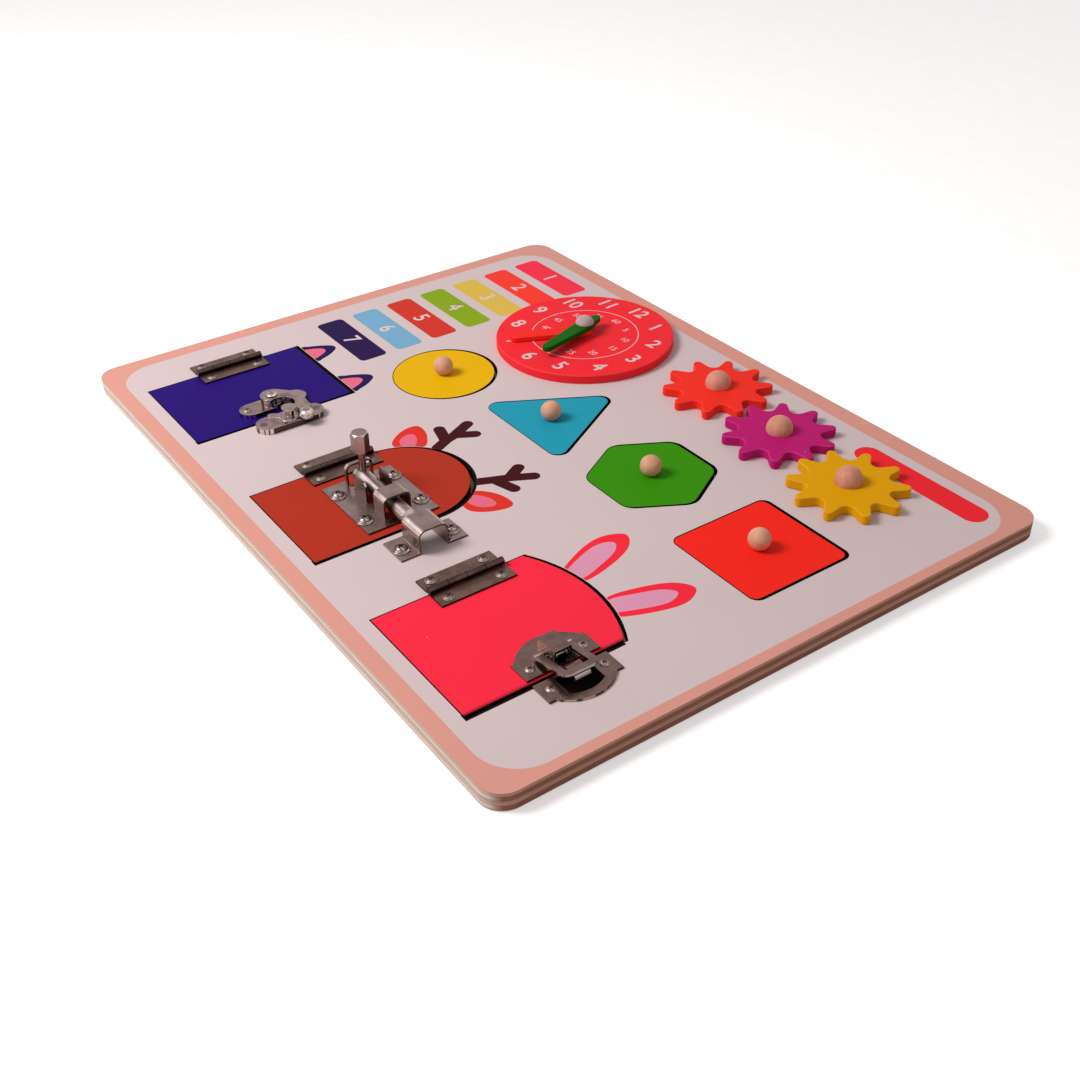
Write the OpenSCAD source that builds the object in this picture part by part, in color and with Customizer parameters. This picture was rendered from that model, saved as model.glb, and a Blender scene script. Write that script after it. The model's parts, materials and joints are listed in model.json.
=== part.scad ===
// Wooden busy board. Two sheets of plywood are glued into one board. It carries a clock with two
// loose hands, a train of three gears, four shape pieces that lift out by their knobs, and three
// hinged doors, each closed by another kind of latch. Millimetres. The board lies on its back at
// z = 0 with its centre over the origin; the pictures stand upright towards +Y.

/* [Board] */
// Width of the board
board_w = 400; // [385:1:450]
// Height of the board, from its lower edge to its upper edge
board_d = 300; // [292:1:340]
// Corner radius of the board
board_r = 11; // [3:0.5:20]
// Thickness of the backing sheet
back_t = 4.5; // [3:0.1:8]
// Thickness of the front sheet, of the doors and of the shape pieces
front_t = 4.5; // [4.2:0.1:8]

/* [Door openings] */
// Lower edge of the three door openings
door_y = -134.9; // [-138:0.1:-132]
// Left edge of the blue door's opening
blue_x = -161.8; // [-168:0.1:-156]
// Width of the blue door's opening
blue_w = 68.5; // [66:0.1:72]
// Height of the blue door's opening
blue_h = 89.9; // [84:0.1:94]
// Left edge of the brown door's opening
brown_x = -33.9; // [-38:0.1:-30]
// Width of the brown door's opening, which ends in a half circle
brown_w = 68.6; // [66:0.1:72]
// Height of the straight sides of the brown door's opening
brown_side = 64.3; // [60:0.1:68]
// Left edge of the pink door's opening
pink_x = 82.9; // [78:0.1:86]
// Width of the pink door's opening
pink_w = 74.7; // [72:0.1:78]
// Height of the pink door's opening at its middle
pink_h = 88.9; // [84:0.1:92]
// Radius of the pink door's arched top
pink_arc = 72; // [60:1:120]
// Gap all round a door that hangs in the middle of its opening
door_gap = 1.1; // [0.9:0.05:1.6]
// How far the doors hang towards their hinges and their lower edges
door_shift = 0.55; // [0:0.05:0.6]

/* [Shape pieces] */
// Height of each cut-out
shape_h = 57.5; // [50:0.1:60]
// Height on the board of the row of the three right cut-outs
shape_y = 30.6; // [26:0.1:34]
// Place of the circle
circle_x = -82.5; // [-90:0.1:-76]
// Height on the board of the circle
circle_y = 4.6; // [0:0.1:8]
// Place of the triangle
triangle_x = -7; // [-10:0.1:-4]
// Place of the hexagon
hexagon_x = 64.9; // [62:0.1:68]
// Place of the square
square_x = 141.2; // [136:0.1:146]
// Corner radius of the triangle's cut-out
triangle_r = 6; // [3:0.5:9]
// Corner radius of the hexagon's cut-out
hexagon_r = 9; // [3:0.5:12]
// Corner radius of the square's cut-out
square_r = 5; // [3:0.5:9]
// Gap all round a piece that lies in the middle of its cut-out
shape_gap = 0.9; // [0.8:0.05:1.5]
// How far the pieces lie towards the lower left of their cut-outs
shape_shift = 0.5; // [0:0.05:0.5]
// Diameter of the ball knobs
ball_d = 10.6; // [8:0.1:14]
// Radius of the flat foot on which a ball knob stands
ball_foot = 2.6; // [2.2:0.1:3.6]
// Radius of the dowel below a ball knob
dowel_r = 1.6; // [1:0.1:2]
// Length of the dowel below a ball knob
dowel_len = 3.4; // [2:0.1:3.8]

/* [Clock] */
// Place of the clock
clock_x = -66.8; // [-70:0.1:-64]
// Height on the board of the clock
clock_y = 88; // [86:0.1:90]
// Radius of the dial
dial_r = 50.1; // [46:0.1:51]
// Thickness of the dial
dial_t = 5; // [3:0.1:8]
// Distance from the clock's centre to the tip of the hour hand
hour_len = 43; // [34:0.5:46]
// Width of the hour hand
hour_w = 8.4; // [7.5:0.1:11]
// Thickness of the hour hand
hour_t = 2.9; // [2:0.1:4]
// Direction of the hour hand, counted from +X
hour_angle = -116.6; // [-180:0.1:180]
// Distance from the clock's centre to the tip of the minute hand
minute_len = 36.2; // [30:0.1:46]
// Distance from the clock's centre to the end of the minute hand's tail
minute_tail = 13.2; // [11:0.1:18]
// Greatest width of the minute hand
minute_w = 9.2; // [8.4:0.1:12]
// Width of the minute hand at its tip
minute_tip_w = 5.4; // [3:0.1:7]
// Thickness of the minute hand
minute_t = 3; // [2:0.1:4]
// Direction of the minute hand, counted from +X
minute_angle = -74; // [-180:0.1:180]
// Gap between the dial, the hands and the knob
hand_gap = 0.35; // [0.3:0.05:0.8]
// Radius of the pin that both hands turn on
clock_pin_r = 2.4; // [1.8:0.1:3]
// Radius of the knob that keeps the hands on
clock_knob_r = 5.2; // [4:0.1:7]
// Height of the knob that keeps the hands on
clock_knob_h = 4.2; // [3:0.1:6]

/* [Gears] */
// Place of the red gear
gear_x = 24; // [23.5:0.1:26]
// Height on the board of the red gear
gear_y = 107.9; // [106:0.1:108.4]
// Direction of the row of gears, counted from +X
gear_row = -7.1; // [-9:0.1:-4]
// Number of teeth
teeth = 10; // [9:1:11]
// Radius over the tips of the teeth
tip_r = 28.9; // [27:0.1:29.2]
// Radius to the bottoms of the valleys
valley_r = 20.4; // [18:0.1:21]
// Rounding of the tips
tip_round = 1.7; // [1:0.1:2]
// Rounding of the valleys
valley_round = 2; // [1:0.1:2.5]
// Room between a tip and the valley that it enters
mesh_room = 4.8; // [3.5:0.1:5.5]
// Angle by which the red gear is turned
red_turn = 18.6; // [0:0.1:36]
// Angle by which the purple gear lags behind an even mesh
purple_lag = 3.5; // [-4:0.1:4]
// Angle by which the yellow gear lags behind an even mesh
yellow_lag = -7.5; // [-7.5:0.1:4]
// Thickness of the gears
gear_t = 4.5; // [3:0.1:6]
// Gap above and below a gear
gear_gap = 0.3; // [0.3:0.05:0.8]
// Radius of the pegs that the gears turn on
peg_r = 4; // [3:0.1:5]
// Radius of the knobs on the pegs
peg_knob_r = 6.7; // [6:0.1:9]
// Height of the knobs on the pegs
peg_knob_h = 8; // [7:0.1:12]

/* [Hinges] */
// Length of the hinges
hinge_len = 38; // [32:0.5:46]
// Height on the board of the hinges' middle
hinge_y = -87; // [-90:0.1:-84]
// Width of one leaf, from the pin to its edge
leaf_w = 11; // [10:0.1:13]
// Thickness of the leaves
leaf_t = 0.9; // [0.6:0.1:1.2]
// Radius of the knuckles
knuckle_r = 1.8; // [1.6:0.1:2.2]
// Radius of the hinge pins
hinge_pin_r = 0.8; // [0.6:0.05:0.9]
// Gap between two knuckles, and below them
knuckle_gap = 0.3; // [0.3:0.05:0.6]
// Distance from the opening's edge to the hinge pin
hinge_inset = 0.3; // [0.2:0.05:0.45]
// Distance from the pin to the screws
hinge_screw_x = 7.2; // [6:0.1:8]
// Distance from the hinge's middle to the screws
hinge_screw_y = 13.5; // [8:0.1:15]

/* [Screws] */
// Radius of the shanks
shank_r = 1; // [0.7:0.1:1.3]
// Depth to which the screws reach into the wood
bite = 3.7; // [2:0.1:4]
// Head radius of the small screws
small_head_r = 2.2; // [1.8:0.1:2.6]
// Head height of the small screws
small_head_h = 1; // [0.8:0.1:1.3]
// Head radius of the pan head screws on the bolt
pan_head_r = 3.1; // [2.6:0.1:3.4]
// Head height of the pan head screws on the bolt
pan_head_h = 2.4; // [1.8:0.1:2.6]

/* [Hook latch] */
// Height on the board of the hook latch's pivot
hook_y = -87; // [-90:0.1:-84]
// Distance from the opening's right edge to the pivot on the door
hook_pivot_in = 13; // [12:0.1:16]
// Distance from the opening's right edge to the peg on the board
hook_peg_out = 7.3; // [7.2:0.1:9]
// Width of the base on the door
hook_base_w = 12.4; // [10:0.1:14]
// Length of the two bases
hook_base_len = 37.5; // [34:0.5:44]
// Thickness of the base on the door
hook_base_t = 2.3; // [1.5:0.1:2.6]
// Width of the base on the board
peg_base_w = 13; // [10:0.1:13]
// Thickness of the base on the board
peg_base_t = 3.3; // [2.5:0.1:3.4]
// Distance of the screws from the middle of each base
hook_screw_y = 14.8; // [13:0.1:15.5]
// Height of both bosses above the wood
hook_boss_h = 4; // [3.6:0.1:5]
// Radius of the boss below the arm
hook_boss_r = 6.3; // [5:0.1:7]
// Thickness of the arm
hook_arm_t = 2.5; // [2:0.1:3]
// Radius of the arm's round end at the pivot
hook_head_r = 6.3; // [5.5:0.1:7]
// Radius of the arm's throat
throat_r = 6.8; // [6:0.1:7.4]
// Radius of the rivet that the arm turns on
rivet_r = 1.8; // [1.2:0.1:2]
// Radius of the rivet's head
rivet_head_r = 3; // [2.4:0.1:4]
// Gap between the arm and what lies above and below it
hook_gap = 0.3; // [0.3:0.05:0.5]
// Radius of the peg's neck
peg_neck_r = 2.2; // [1.6:0.1:2.4]
// Radius of the peg's head
peg_head_r = 4; // [3:0.1:4.2]

/* [Barrel bolt] */
// Height on the board of the bolt's rod
bolt_y = -86.2; // [-88:0.1:-84]
// Distance from the opening's right edge to the front edge of the bolt's plate
bolt_plate_in = 5.9; // [4:0.1:8]
// Length of the bolt's plate
bolt_plate_len = 45.8; // [45:0.1:48]
// Width of the bolt's plate
bolt_plate_w = 37.4; // [34:0.1:42]
// Thickness of the bolt's plate and of its bent-up strips
bolt_t = 1; // [0.8:0.1:1.2]
// Width of the bridges over the rod
bridge_w = 14.4; // [12:0.1:15]
// Height of the bridges above the wood
bridge_h = 12; // [11.5:0.1:13]
// Corner radius of the bridges
bridge_r = 3; // [2:0.1:4]
// Radius of the rod
rod_r = 4; // [3:0.1:4.2]
// Length of the rod
rod_len = 48.5; // [46:0.5:52]
// Distance by which the drawn rod stands back from the keeper
rod_back = 4; // [3:0.1:4.5]
// Distance from the rod's rear end to the knob's stem
stem_in = 4.5; // [3:0.1:5]
// Radius of the knob's stem
stem_r = 1.75; // [1.2:0.05:2]
// Distance from the rod's centre line to the knob's lower end
knob_start = 14.6; // [13.5:0.1:17]
// Length of the knob
knob_len = 10.2; // [8:0.1:14]
// Radius of the knob over its corners
knob_r = 4.4; // [3:0.1:5]
// Distance from the opening's right edge to the keeper
keeper_out = 4.8; // [4:0.1:6]
// Length of the keeper along the rod
keeper_len = 16.5; // [14:0.5:20]
// Width of the keeper across the rod
keeper_w = 34.6; // [32:0.1:38]
// Width of the keeper's bridge
keeper_bridge_w = 15.7; // [13.5:0.1:17]
// Corner radius of the keeper's bridge
keeper_r = 4; // [2:0.1:5]

/* [Box latch] */
// Height on the board of the box latch's middle
box_y = -86.4; // [-88:0.1:-84]
// Thickness of its two plates
box_plate_t = 1; // [0.8:0.1:1.2]
// Length of the straight part of the two plates
box_plate_len = 36; // [34:0.5:38]
// Width of the straight part of the two plates
box_plate_w = 11.6; // [10:0.1:12.2]
// Radius of the plates' round part
box_round_r = 19.5; // [18.5:0.1:22]
// Distance from the opening's right edge to the plate on the door
box_plate_in = 3.1; // [2:0.1:4]
// Reach of the plate on the door, from its straight edge to its round end
box_reach = 20.2; // [18.5:0.1:21]
// Distance from the opening's right edge to the catch plate
catch_out = 0.6; // [0.4:0.1:1]
// Reach of the catch plate, from its straight edge to its round end
catch_reach = 18.4; // [18:0.1:21]
// Distance of the screws from the middle of the two plates
box_screw_y = 13; // [11.8:0.1:14]
// Length of the box lever
lever_len = 12; // [11:0.1:13]
// Width of the box lever
lever_w = 8.5; // [7.5:0.1:9]
// Height of the box lever
lever_h = 7.1; // [6.5:0.1:8]
// Thickness of the lever's walls and of the ears
lever_t = 0.9; // [0.7:0.1:1]
// Distance from the lever's open end to its pivot, and height of the pivot in it
lever_pivot = 2.8; // [2.6:0.1:3]
// Radius of the lever's pivot pin
lever_pin_r = 0.9; // [0.7:0.05:1]
// Distance from the lever's pivot back to the link's round bar
link_back = 4.8; // [4.4:0.1:5]
// Radius of the link's round bar
link_bar_r = 1.2; // [0.9:0.05:1.25]
// Length of the link, from its round bar to its front edge
link_len = 21.4; // [21:0.1:23]
// Width of the link
link_w = 18; // [17.4:0.1:19]
// Width of the flat strip that the link is bent from
link_strip = 3.4; // [3:0.1:3.6]
// Thickness of the flat strip
link_t = 1.2; // [0.8:0.1:1.3]
// Angle by which the link is lifted off the catch
link_lift = 10; // [9.6:0.1:14]
// Height of the catch's tongue above the wood
tongue_h = 5; // [4.4:0.1:5.1]
// Width of the catch's tongue
tongue_w = 7.5; // [5:0.1:8]
// Length of the catch's tongue
tongue_len = 9; // [8:0.1:9.6]

/* [Fits] */
// Radial clearance of everything that turns on a pin
run_fit = 0.05; // [0.02:0.01:0.1]

/* [Hidden] */
$fn = 72;

top = back_t + front_t;          // height of the front face
eps = 0.01;                      // overlap of cutting tools past a face

// Hinge pins: one by the left edge of each opening, with knuckles that clear the wood.
blue_pin_x = blue_x + hinge_inset;
brown_pin_x = brown_x + hinge_inset;
pink_pin_x = pink_x + hinge_inset;
pin_z = top + knuckle_r + knuckle_gap;
hinge_xs = [blue_pin_x, brown_pin_x, pink_pin_x];
knuckles = 4;
knuckle_len = (hinge_len - (knuckles - 1) * knuckle_gap) / knuckles;

// Gears: the centres stand in a row, one tip radius, one valley radius and the room apart.
gear_step = tip_r + valley_r + mesh_room;
gear_z = top + gear_gap;
pitch = 360 / teeth;
function gear_at(i) = [gear_x + i * gear_step * cos(gear_row), gear_y + i * gear_step * sin(gear_row)];
// A follower faces its driver with a valley where the driver has a tooth.
function meshed(turn) = 180 + 2 * gear_row - turn + pitch / 2;
purple_turn = meshed(red_turn) + purple_lag;
yellow_turn = meshed(purple_turn) + yellow_lag;

// Clock: the dial, the hands and the knob are stacked on one pin.
dial_z = top + dial_t;
hour_z = dial_z + hand_gap;
minute_z = hour_z + hour_t + hand_gap;
clock_knob_z = minute_z + minute_t + hand_gap;

// Right edges of the openings, which the latches are set out from.
blue_edge = blue_x + blue_w;
brown_edge = brown_x + brown_w;
pink_edge = pink_x + pink_w;

// Hook latch
hook_pivot = [blue_edge - hook_pivot_in, hook_y];
hook_peg = [blue_edge + hook_peg_out, hook_y];
hook_arm_z = top + hook_boss_h + hook_gap;
hook_span = hook_pivot_in + hook_peg_out;

// Barrel bolt: x counts from the front edge of its plate back, which keeps the strips together.
bolt_front = brown_edge - bolt_plate_in;
rod_z = top + bolt_t + knuckle_gap + rod_r;
keeper_x = brown_edge + keeper_out;
rod_tip = keeper_x - rod_back;
stem_x = rod_tip - rod_len + stem_in;
// Distance of each strip's rear edge from the plate's front edge, and its length along the rod
front_bridge = [14.9, 9.7];
tab = [33.5, 11.2];
rear_bridge = [43.1, 2];
webs = [[21.1, 2.5], [39.1, 2.5]];
bolt_screws = [[10.2, 15], [36.1, 15]];

// Box latch: the lever's pivot stands a little in from the straight edge of its plate.
box_edge = pink_edge - box_plate_in;
pivot_x = box_edge - 3.3;
pivot_z = top + box_plate_t + 0.2 + lever_pivot;
bar_x = pivot_x - link_back;
bar_z = pivot_z - 0.95;
catch_x = pink_edge + catch_out;

// ---------------------------------------------------------------- shapes

// Convex outline with round corners: the corner circles of radius r have their centres at c.
module rounded(c, r) {
    n = len(c);
    polygon([for (i = [0:n - 1], side = [-1, 1])
        let (a = side < 0 ? c[(i + n - 1) % n] : c[i], b = side < 0 ? c[i] : c[(i + 1) % n],
             d = (b - a) / norm(b - a))
        c[i] + r * [d[1], -d[0]]]);
    for (p = c) translate(p) circle(r);
}

// Rectangle with round corners, from its lower left corner.
module rounded_box(w, h, r) {
    rounded([[r, r], [w - r, r], [w - r, h - r], [r, h - r]], r);
}

// Regular outline with round corners: a is the distance from its middle to a flat side.
module regular(n, a, r, turn) {
    corner = (a - r) / cos(180 / n);
    rounded([for (i = [0:n - 1]) corner * [cos(turn + i * 360 / n), sin(turn + i * 360 / n)]], r);
}

// Bar with straight sides and two round ends of different radius, from the origin along +X.
// Its sides end a hair inside the round ends, so that they cross them instead of grazing them.
module tapered_bar(r1, r2, len) {
    s = (r1 - r2) / len;
    side = 0.998 * [s, sqrt(1 - s * s)];
    circle(r1);
    translate([len, 0]) circle(r2);
    polygon([[r1 * side[0], -r1 * side[1]], [len + r2 * side[0], -r2 * side[1]],
             [len + r2 * side[0], r2 * side[1]], [r1 * side[0], r1 * side[1]]]);
}

// Upright bar with two round ends, about the origin.
module stadium(w, len) {
    for (s = [-1, 1]) translate([0, s * (len - w) / 2]) circle(w / 2);
    translate([-w / 2, -(len - w) / 2]) square([w, len - w]);
}

// Arch with round top corners, standing on the X axis, drawn about X = 0.
module arch(w, h, r) {
    translate([-w / 2, 0]) square([w, h - r]);
    translate([-w / 2 + r, 0]) square([w - 2 * r, h]);
    for (s = [-1, 1]) translate([s * (w / 2 - r), h - r]) circle(r);
}

// Bridge bent from a strip of thickness t, from x = 0 along +X, standing on z = 0.
module bridge(len, w, h, r, t) {
    rotate([90, 0, 90]) linear_extrude(len) difference() {
        arch(w, h, r);
        translate([0, -eps]) arch(w - 2 * t, h - t + eps, max(r - t, 0.2));
    }
}

// Round post with a dome: straight up to its shoulder, then a cap of a sphere.
module domed(r, h) {
    shoulder = max(h - r, 0.15 * h);
    cap = h - shoulder;
    ball = (r * r + cap * cap) / (2 * cap);
    intersection() {
        cylinder(r = r, h = h);
        translate([0, 0, h - ball]) sphere(ball);
    }
}

// Cross screw that stands on z = 0 with its head up and its shank pointing down.
module screw(head_r, head_h, len) {
    difference() {
        union() {
            domed(head_r, head_h);
            translate([0, 0, -len + shank_r]) cylinder(r = shank_r, h = len - shank_r + eps);
            translate([0, 0, -len]) cylinder(r1 = 0.2, r2 = shank_r, h = shank_r);
        }
        for (a = [0, 90]) rotate(a + 20)
            translate([-head_r * 0.55, -head_r * 0.12, head_h * 0.4])
                cube([head_r * 1.1, head_r * 0.24, head_h]);
    }
}

// Screws with their heads at height z above the wood, which they all enter equally deep.
module screws(points, head_r, head_h, z) {
    for (p = points) translate([p[0], p[1], top + z]) screw(head_r, head_h, bite + z);
}

// Holes for the screws, through the metal and into the wood.
module screw_holes(points) {
    for (p = points) translate([p[0], p[1], top - bite]) cylinder(r = shank_r, h = bite + top);
}

// Screw places, each a list of points.
function hinge_points(x, side) =
    [for (s = [-1, 1]) [x + side * hinge_screw_x, hinge_y + s * hinge_screw_y]];
function base_points(p) = [for (s = [-1, 1]) p + [0, s * hook_screw_y]];
function bolt_points() =
    [for (p = bolt_screws, s = [-1, 1]) [bolt_front - p[0], bolt_y + s * p[1]]];
function keeper_points() =
    [for (s = [-1, 1]) [keeper_x + 9.2, bolt_y + s * (keeper_w / 2 - 4.1)]];
function box_points(x) = [for (s = [-1, 1]) [x, box_y + s * box_screw_y]];
box_screw_x = box_edge - 5;
catch_screw_x = catch_x + 5.6;

// ---------------------------------------------------------------- outlines of the openings

// Each opening, drawn smaller all round by the gap g.
module blue_outline(g) {
    translate([blue_x + g, door_y + g]) square([blue_w - 2 * g, blue_h - 2 * g]);
}

module brown_outline(g) {
    translate([brown_x + g, door_y + g]) square([brown_w - 2 * g, brown_side - g]);
    translate([brown_x + brown_w / 2, door_y + brown_side]) circle(brown_w / 2 - g);
}

module pink_outline(g) {
    intersection() {
        translate([pink_x + g, door_y + g]) square([pink_w - 2 * g, pink_h]);
        translate([pink_x + pink_w / 2, door_y + pink_h - pink_arc]) circle(pink_arc - g, $fn = 180);
    }
}

module circle_outline(g) {
    translate([circle_x, circle_y]) circle(shape_h / 2 - g);
}

// The triangle's corner circles stand on an equal-sided triangle.
module triangle_outline(g) {
    rise = shape_h - 2 * triangle_r;
    half = rise / sqrt(3);
    y0 = shape_y - shape_h / 2 + triangle_r;
    rounded([[triangle_x - half, y0], [triangle_x + half, y0], [triangle_x, y0 + rise]], triangle_r - g);
}

module hexagon_outline(g) {
    translate([hexagon_x, shape_y]) regular(6, shape_h / 2 - g, hexagon_r - g, 0);
}

module square_outline(g) {
    translate([square_x, shape_y]) regular(4, shape_h / 2 - g, square_r - g, 45);
}

// ---------------------------------------------------------------- board

module board_outline() {
    translate([-board_w / 2, -board_d / 2]) rounded_box(board_w, board_d, board_r);
}

module backing_board() {
    color("burlywood") linear_extrude(back_t) board_outline();
}

// The front sheet has the openings, the holes of the pegs and the pilot holes of the screws.
module top_board() {
    color("linen") difference() {
        translate([0, 0, back_t]) linear_extrude(front_t) difference() {
            board_outline();
            blue_outline(0);
            brown_outline(0);
            pink_outline(0);
            circle_outline(0);
            triangle_outline(0);
            hexagon_outline(0);
            square_outline(0);
            translate([clock_x, clock_y]) circle(clock_pin_r);
            for (i = [0:2]) translate(gear_at(i)) circle(peg_r);
        }
        for (x = hinge_xs) screw_holes(hinge_points(x, -1));
        screw_holes(base_points(hook_peg));
        screw_holes(keeper_points());
        screw_holes(box_points(catch_screw_x));
        translate([0, 0, top - bite + 0.7]) linear_extrude(bite) catch_opening();
    }
}

// ---------------------------------------------------------------- doors

// A door: its opening's outline, shifted by its own weight, with the pilot holes of its screws.
module door(points) {
    difference() {
        translate([-door_shift, -door_shift, back_t]) linear_extrude(front_t) children();
        screw_holes(points);
    }
}

module blue_door() {
    color("darkslateblue") door(concat(hinge_points(blue_pin_x, 1), base_points(hook_pivot)))
        blue_outline(door_gap);
}

module brown_door() {
    color("firebrick") door(concat(hinge_points(brown_pin_x, 1), bolt_points()))
        brown_outline(door_gap);
}

module pink_door() {
    color("crimson") door(concat(hinge_points(pink_pin_x, 1), box_points(box_screw_x)))
        pink_outline(door_gap);
}

// ---------------------------------------------------------------- shape pieces and their knobs

// Where a knob stands: the middle of its piece.
module at_piece(p) {
    translate([p[0] - shape_shift, p[1] - shape_shift, top]) children();
}

triangle_mid = [triangle_x, shape_y - shape_h / 2 + triangle_r + (shape_h - 2 * triangle_r) / 3];

// A piece is cut from the same sheet as its opening and lies on the backing board.
module shape_piece(p) {
    difference() {
        translate([-shape_shift, -shape_shift, back_t]) linear_extrude(front_t) children();
        at_piece(p) translate([0, 0, -dowel_len]) cylinder(r = dowel_r, h = dowel_len + 1);
    }
}

// Turned ball on a flat foot, with a dowel that is glued into the piece.
module ball_knob() {
    r = ball_d / 2;
    difference() {
        translate([0, 0, sqrt(r * r - ball_foot * ball_foot)]) sphere(r);
        translate([0, 0, -r]) cube([2 * r, 2 * r, 2 * r], center = true);
    }
    translate([0, 0, -dowel_len]) cylinder(r = dowel_r, h = dowel_len + 0.5);
}

module circle_piece() {
    color("goldenrod") shape_piece([circle_x, circle_y]) circle_outline(shape_gap);
}
module triangle_piece() {
    color("darkturquoise") shape_piece(triangle_mid) triangle_outline(shape_gap);
}
module hexagon_piece() {
    color("limegreen") shape_piece([hexagon_x, shape_y]) hexagon_outline(shape_gap);
}
module square_piece() {
    color("tomato") shape_piece([square_x, shape_y]) square_outline(shape_gap);
}
module circle_knob() { color("tan") at_piece([circle_x, circle_y]) ball_knob(); }
module triangle_knob() { color("tan") at_piece(triangle_mid) ball_knob(); }
module hexagon_knob() { color("tan") at_piece([hexagon_x, shape_y]) ball_knob(); }
module square_knob() { color("tan") at_piece([square_x, shape_y]) ball_knob(); }

// ---------------------------------------------------------------- clock

module at_clock(z) {
    translate([clock_x, clock_y, z]) children();
}

module clock_dial() {
    color("crimson") at_clock(top) difference() {
        cylinder(r = dial_r, h = dial_t, $fn = 180);
        translate([0, 0, -1]) cylinder(r = clock_pin_r, h = dial_t + 2);
    }
}

// Pin set in the front sheet and the dial, with the knob that keeps the hands on.
module clock_pin() {
    color("gainsboro") {
        at_clock(back_t) cylinder(r = clock_pin_r, h = clock_knob_z - back_t + eps);
        at_clock(clock_knob_z) domed(clock_knob_r, clock_knob_h);
    }
}

module hand(z, t, turn) {
    at_clock(z) rotate(turn) difference() {
        linear_extrude(t) children();
        translate([0, 0, -1]) cylinder(r = clock_pin_r + run_fit, h = t + 2);
    }
}

module hour_hand() {
    r = hour_w / 2;
    color("orangered") hand(hour_z, hour_t, hour_angle) tapered_bar(r, r - 0.2, hour_len - r + 0.2);
}

module minute_hand() {
    r = minute_w / 2;
    tip = minute_tip_w / 2;
    tail = minute_tip_w / 2.6;
    color("forestgreen") hand(minute_z, minute_t, minute_angle) {
        tapered_bar(r, tip, minute_len - tip);
        rotate(180) tapered_bar(r, tail, minute_tail - tail);
    }
}

// ---------------------------------------------------------------- gears

// Gear outline: straight flanks run tangent to a circle at each tip and one in each valley.
module gear_outline() {
    tip_c = tip_r - tip_round;
    valley_c = valley_r + valley_round;
    tip = [tip_c, 0];
    valley = valley_c * [cos(pitch / 2), sin(pitch / 2)];
    across = valley - tip;
    lean = atan2(across[1], across[0]) - acos((tip_round + valley_round) / norm(across));
    flank = [cos(lean), sin(lean)];
    a = tip + tip_round * flank;
    b = valley - valley_round * flank;
    difference() {
        union() {
            polygon([for (i = [0:teeth - 1], p = [[b[0], -b[1]], [a[0], -a[1]], a, b])
                let (c = cos(i * pitch), s = sin(i * pitch))
                    [p[0] * c - p[1] * s, p[0] * s + p[1] * c]]);
            for (i = [0:teeth - 1]) rotate(i * pitch) translate(tip) circle(tip_round, $fn = 32);
        }
        for (i = [0:teeth - 1]) rotate((i + 0.5) * pitch)
            translate([valley_c, 0]) circle(valley_round, $fn = 32);
    }
}

module gear(i, turn) {
    translate([gear_at(i)[0], gear_at(i)[1], gear_z]) difference() {
        linear_extrude(gear_t) rotate(turn) gear_outline();
        translate([0, 0, -1]) cylinder(r = peg_r + run_fit, h = gear_t + 2);
    }
}

// Peg glued into the front sheet, with a domed knob that keeps the gear on.
module gear_peg(i) {
    knob_z = gear_z + gear_t + gear_gap;
    translate([gear_at(i)[0], gear_at(i)[1], 0]) {
        translate([0, 0, back_t]) cylinder(r = peg_r, h = knob_z - back_t + eps);
        translate([0, 0, knob_z]) domed(peg_knob_r, peg_knob_h);
    }
}

module red_gear() { color("crimson") gear(0, red_turn); }
module purple_gear() { color("mediumvioletred") gear(1, purple_turn); }
module yellow_gear() { color("goldenrod") gear(2, yellow_turn); }
module red_gear_peg() { color("tan") gear_peg(0); }
module purple_gear_peg() { color("tan") gear_peg(1); }
module yellow_gear_peg() { color("tan") gear_peg(2); }

// ---------------------------------------------------------------- hinges

// One leaf with its knuckles rolled round the pin. side is 1 on the door and -1 on the board;
// the door's knuckles turn on the pin and the board's hold it.
module hinge_leaf(x, side) {
    mine = side > 0 ? 0 : 1;
    notch = knuckle_r + knuckle_gap;
    color("rosybrown") difference() {
        translate([x, hinge_y - hinge_len / 2, top]) difference() {
            union() {
                translate([side > 0 ? 0 : -leaf_w, 0, 0]) cube([leaf_w, hinge_len, leaf_t]);
                for (k = [mine:2:knuckles - 1])
                    translate([0, k * (knuckle_len + knuckle_gap), pin_z - top])
                        rotate([-90, 0, 0]) cylinder(r = knuckle_r, h = knuckle_len);
            }
            for (k = [1 - mine:2:knuckles - 1])
                translate([-notch, k * (knuckle_len + knuckle_gap) - knuckle_gap, -1])
                    cube([2 * notch, knuckle_len + 2 * knuckle_gap, 2 * pin_z]);
            translate([0, -1, pin_z - top]) rotate([-90, 0, 0])
                cylinder(r = hinge_pin_r + (side > 0 ? run_fit : 0), h = hinge_len + 2);
        }
        screw_holes(hinge_points(x, side));
    }
}

module hinge_pin(x) {
    color("rosybrown") translate([x, hinge_y - hinge_len / 2, pin_z]) rotate([-90, 0, 0])
        cylinder(r = hinge_pin_r, h = hinge_len);
}

module blue_hinge_board_leaf() { hinge_leaf(blue_pin_x, -1); }
module blue_hinge_door_leaf() { hinge_leaf(blue_pin_x, 1); }
module blue_hinge_pin() { hinge_pin(blue_pin_x); }
module brown_hinge_board_leaf() { hinge_leaf(brown_pin_x, -1); }
module brown_hinge_door_leaf() { hinge_leaf(brown_pin_x, 1); }
module brown_hinge_pin() { hinge_pin(brown_pin_x); }
module pink_hinge_board_leaf() { hinge_leaf(pink_pin_x, -1); }
module pink_hinge_door_leaf() { hinge_leaf(pink_pin_x, 1); }
module pink_hinge_pin() { hinge_pin(pink_pin_x); }

module small_screws(points, z) {
    color("silver") screws(points, small_head_r, small_head_h, z);
}

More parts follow.
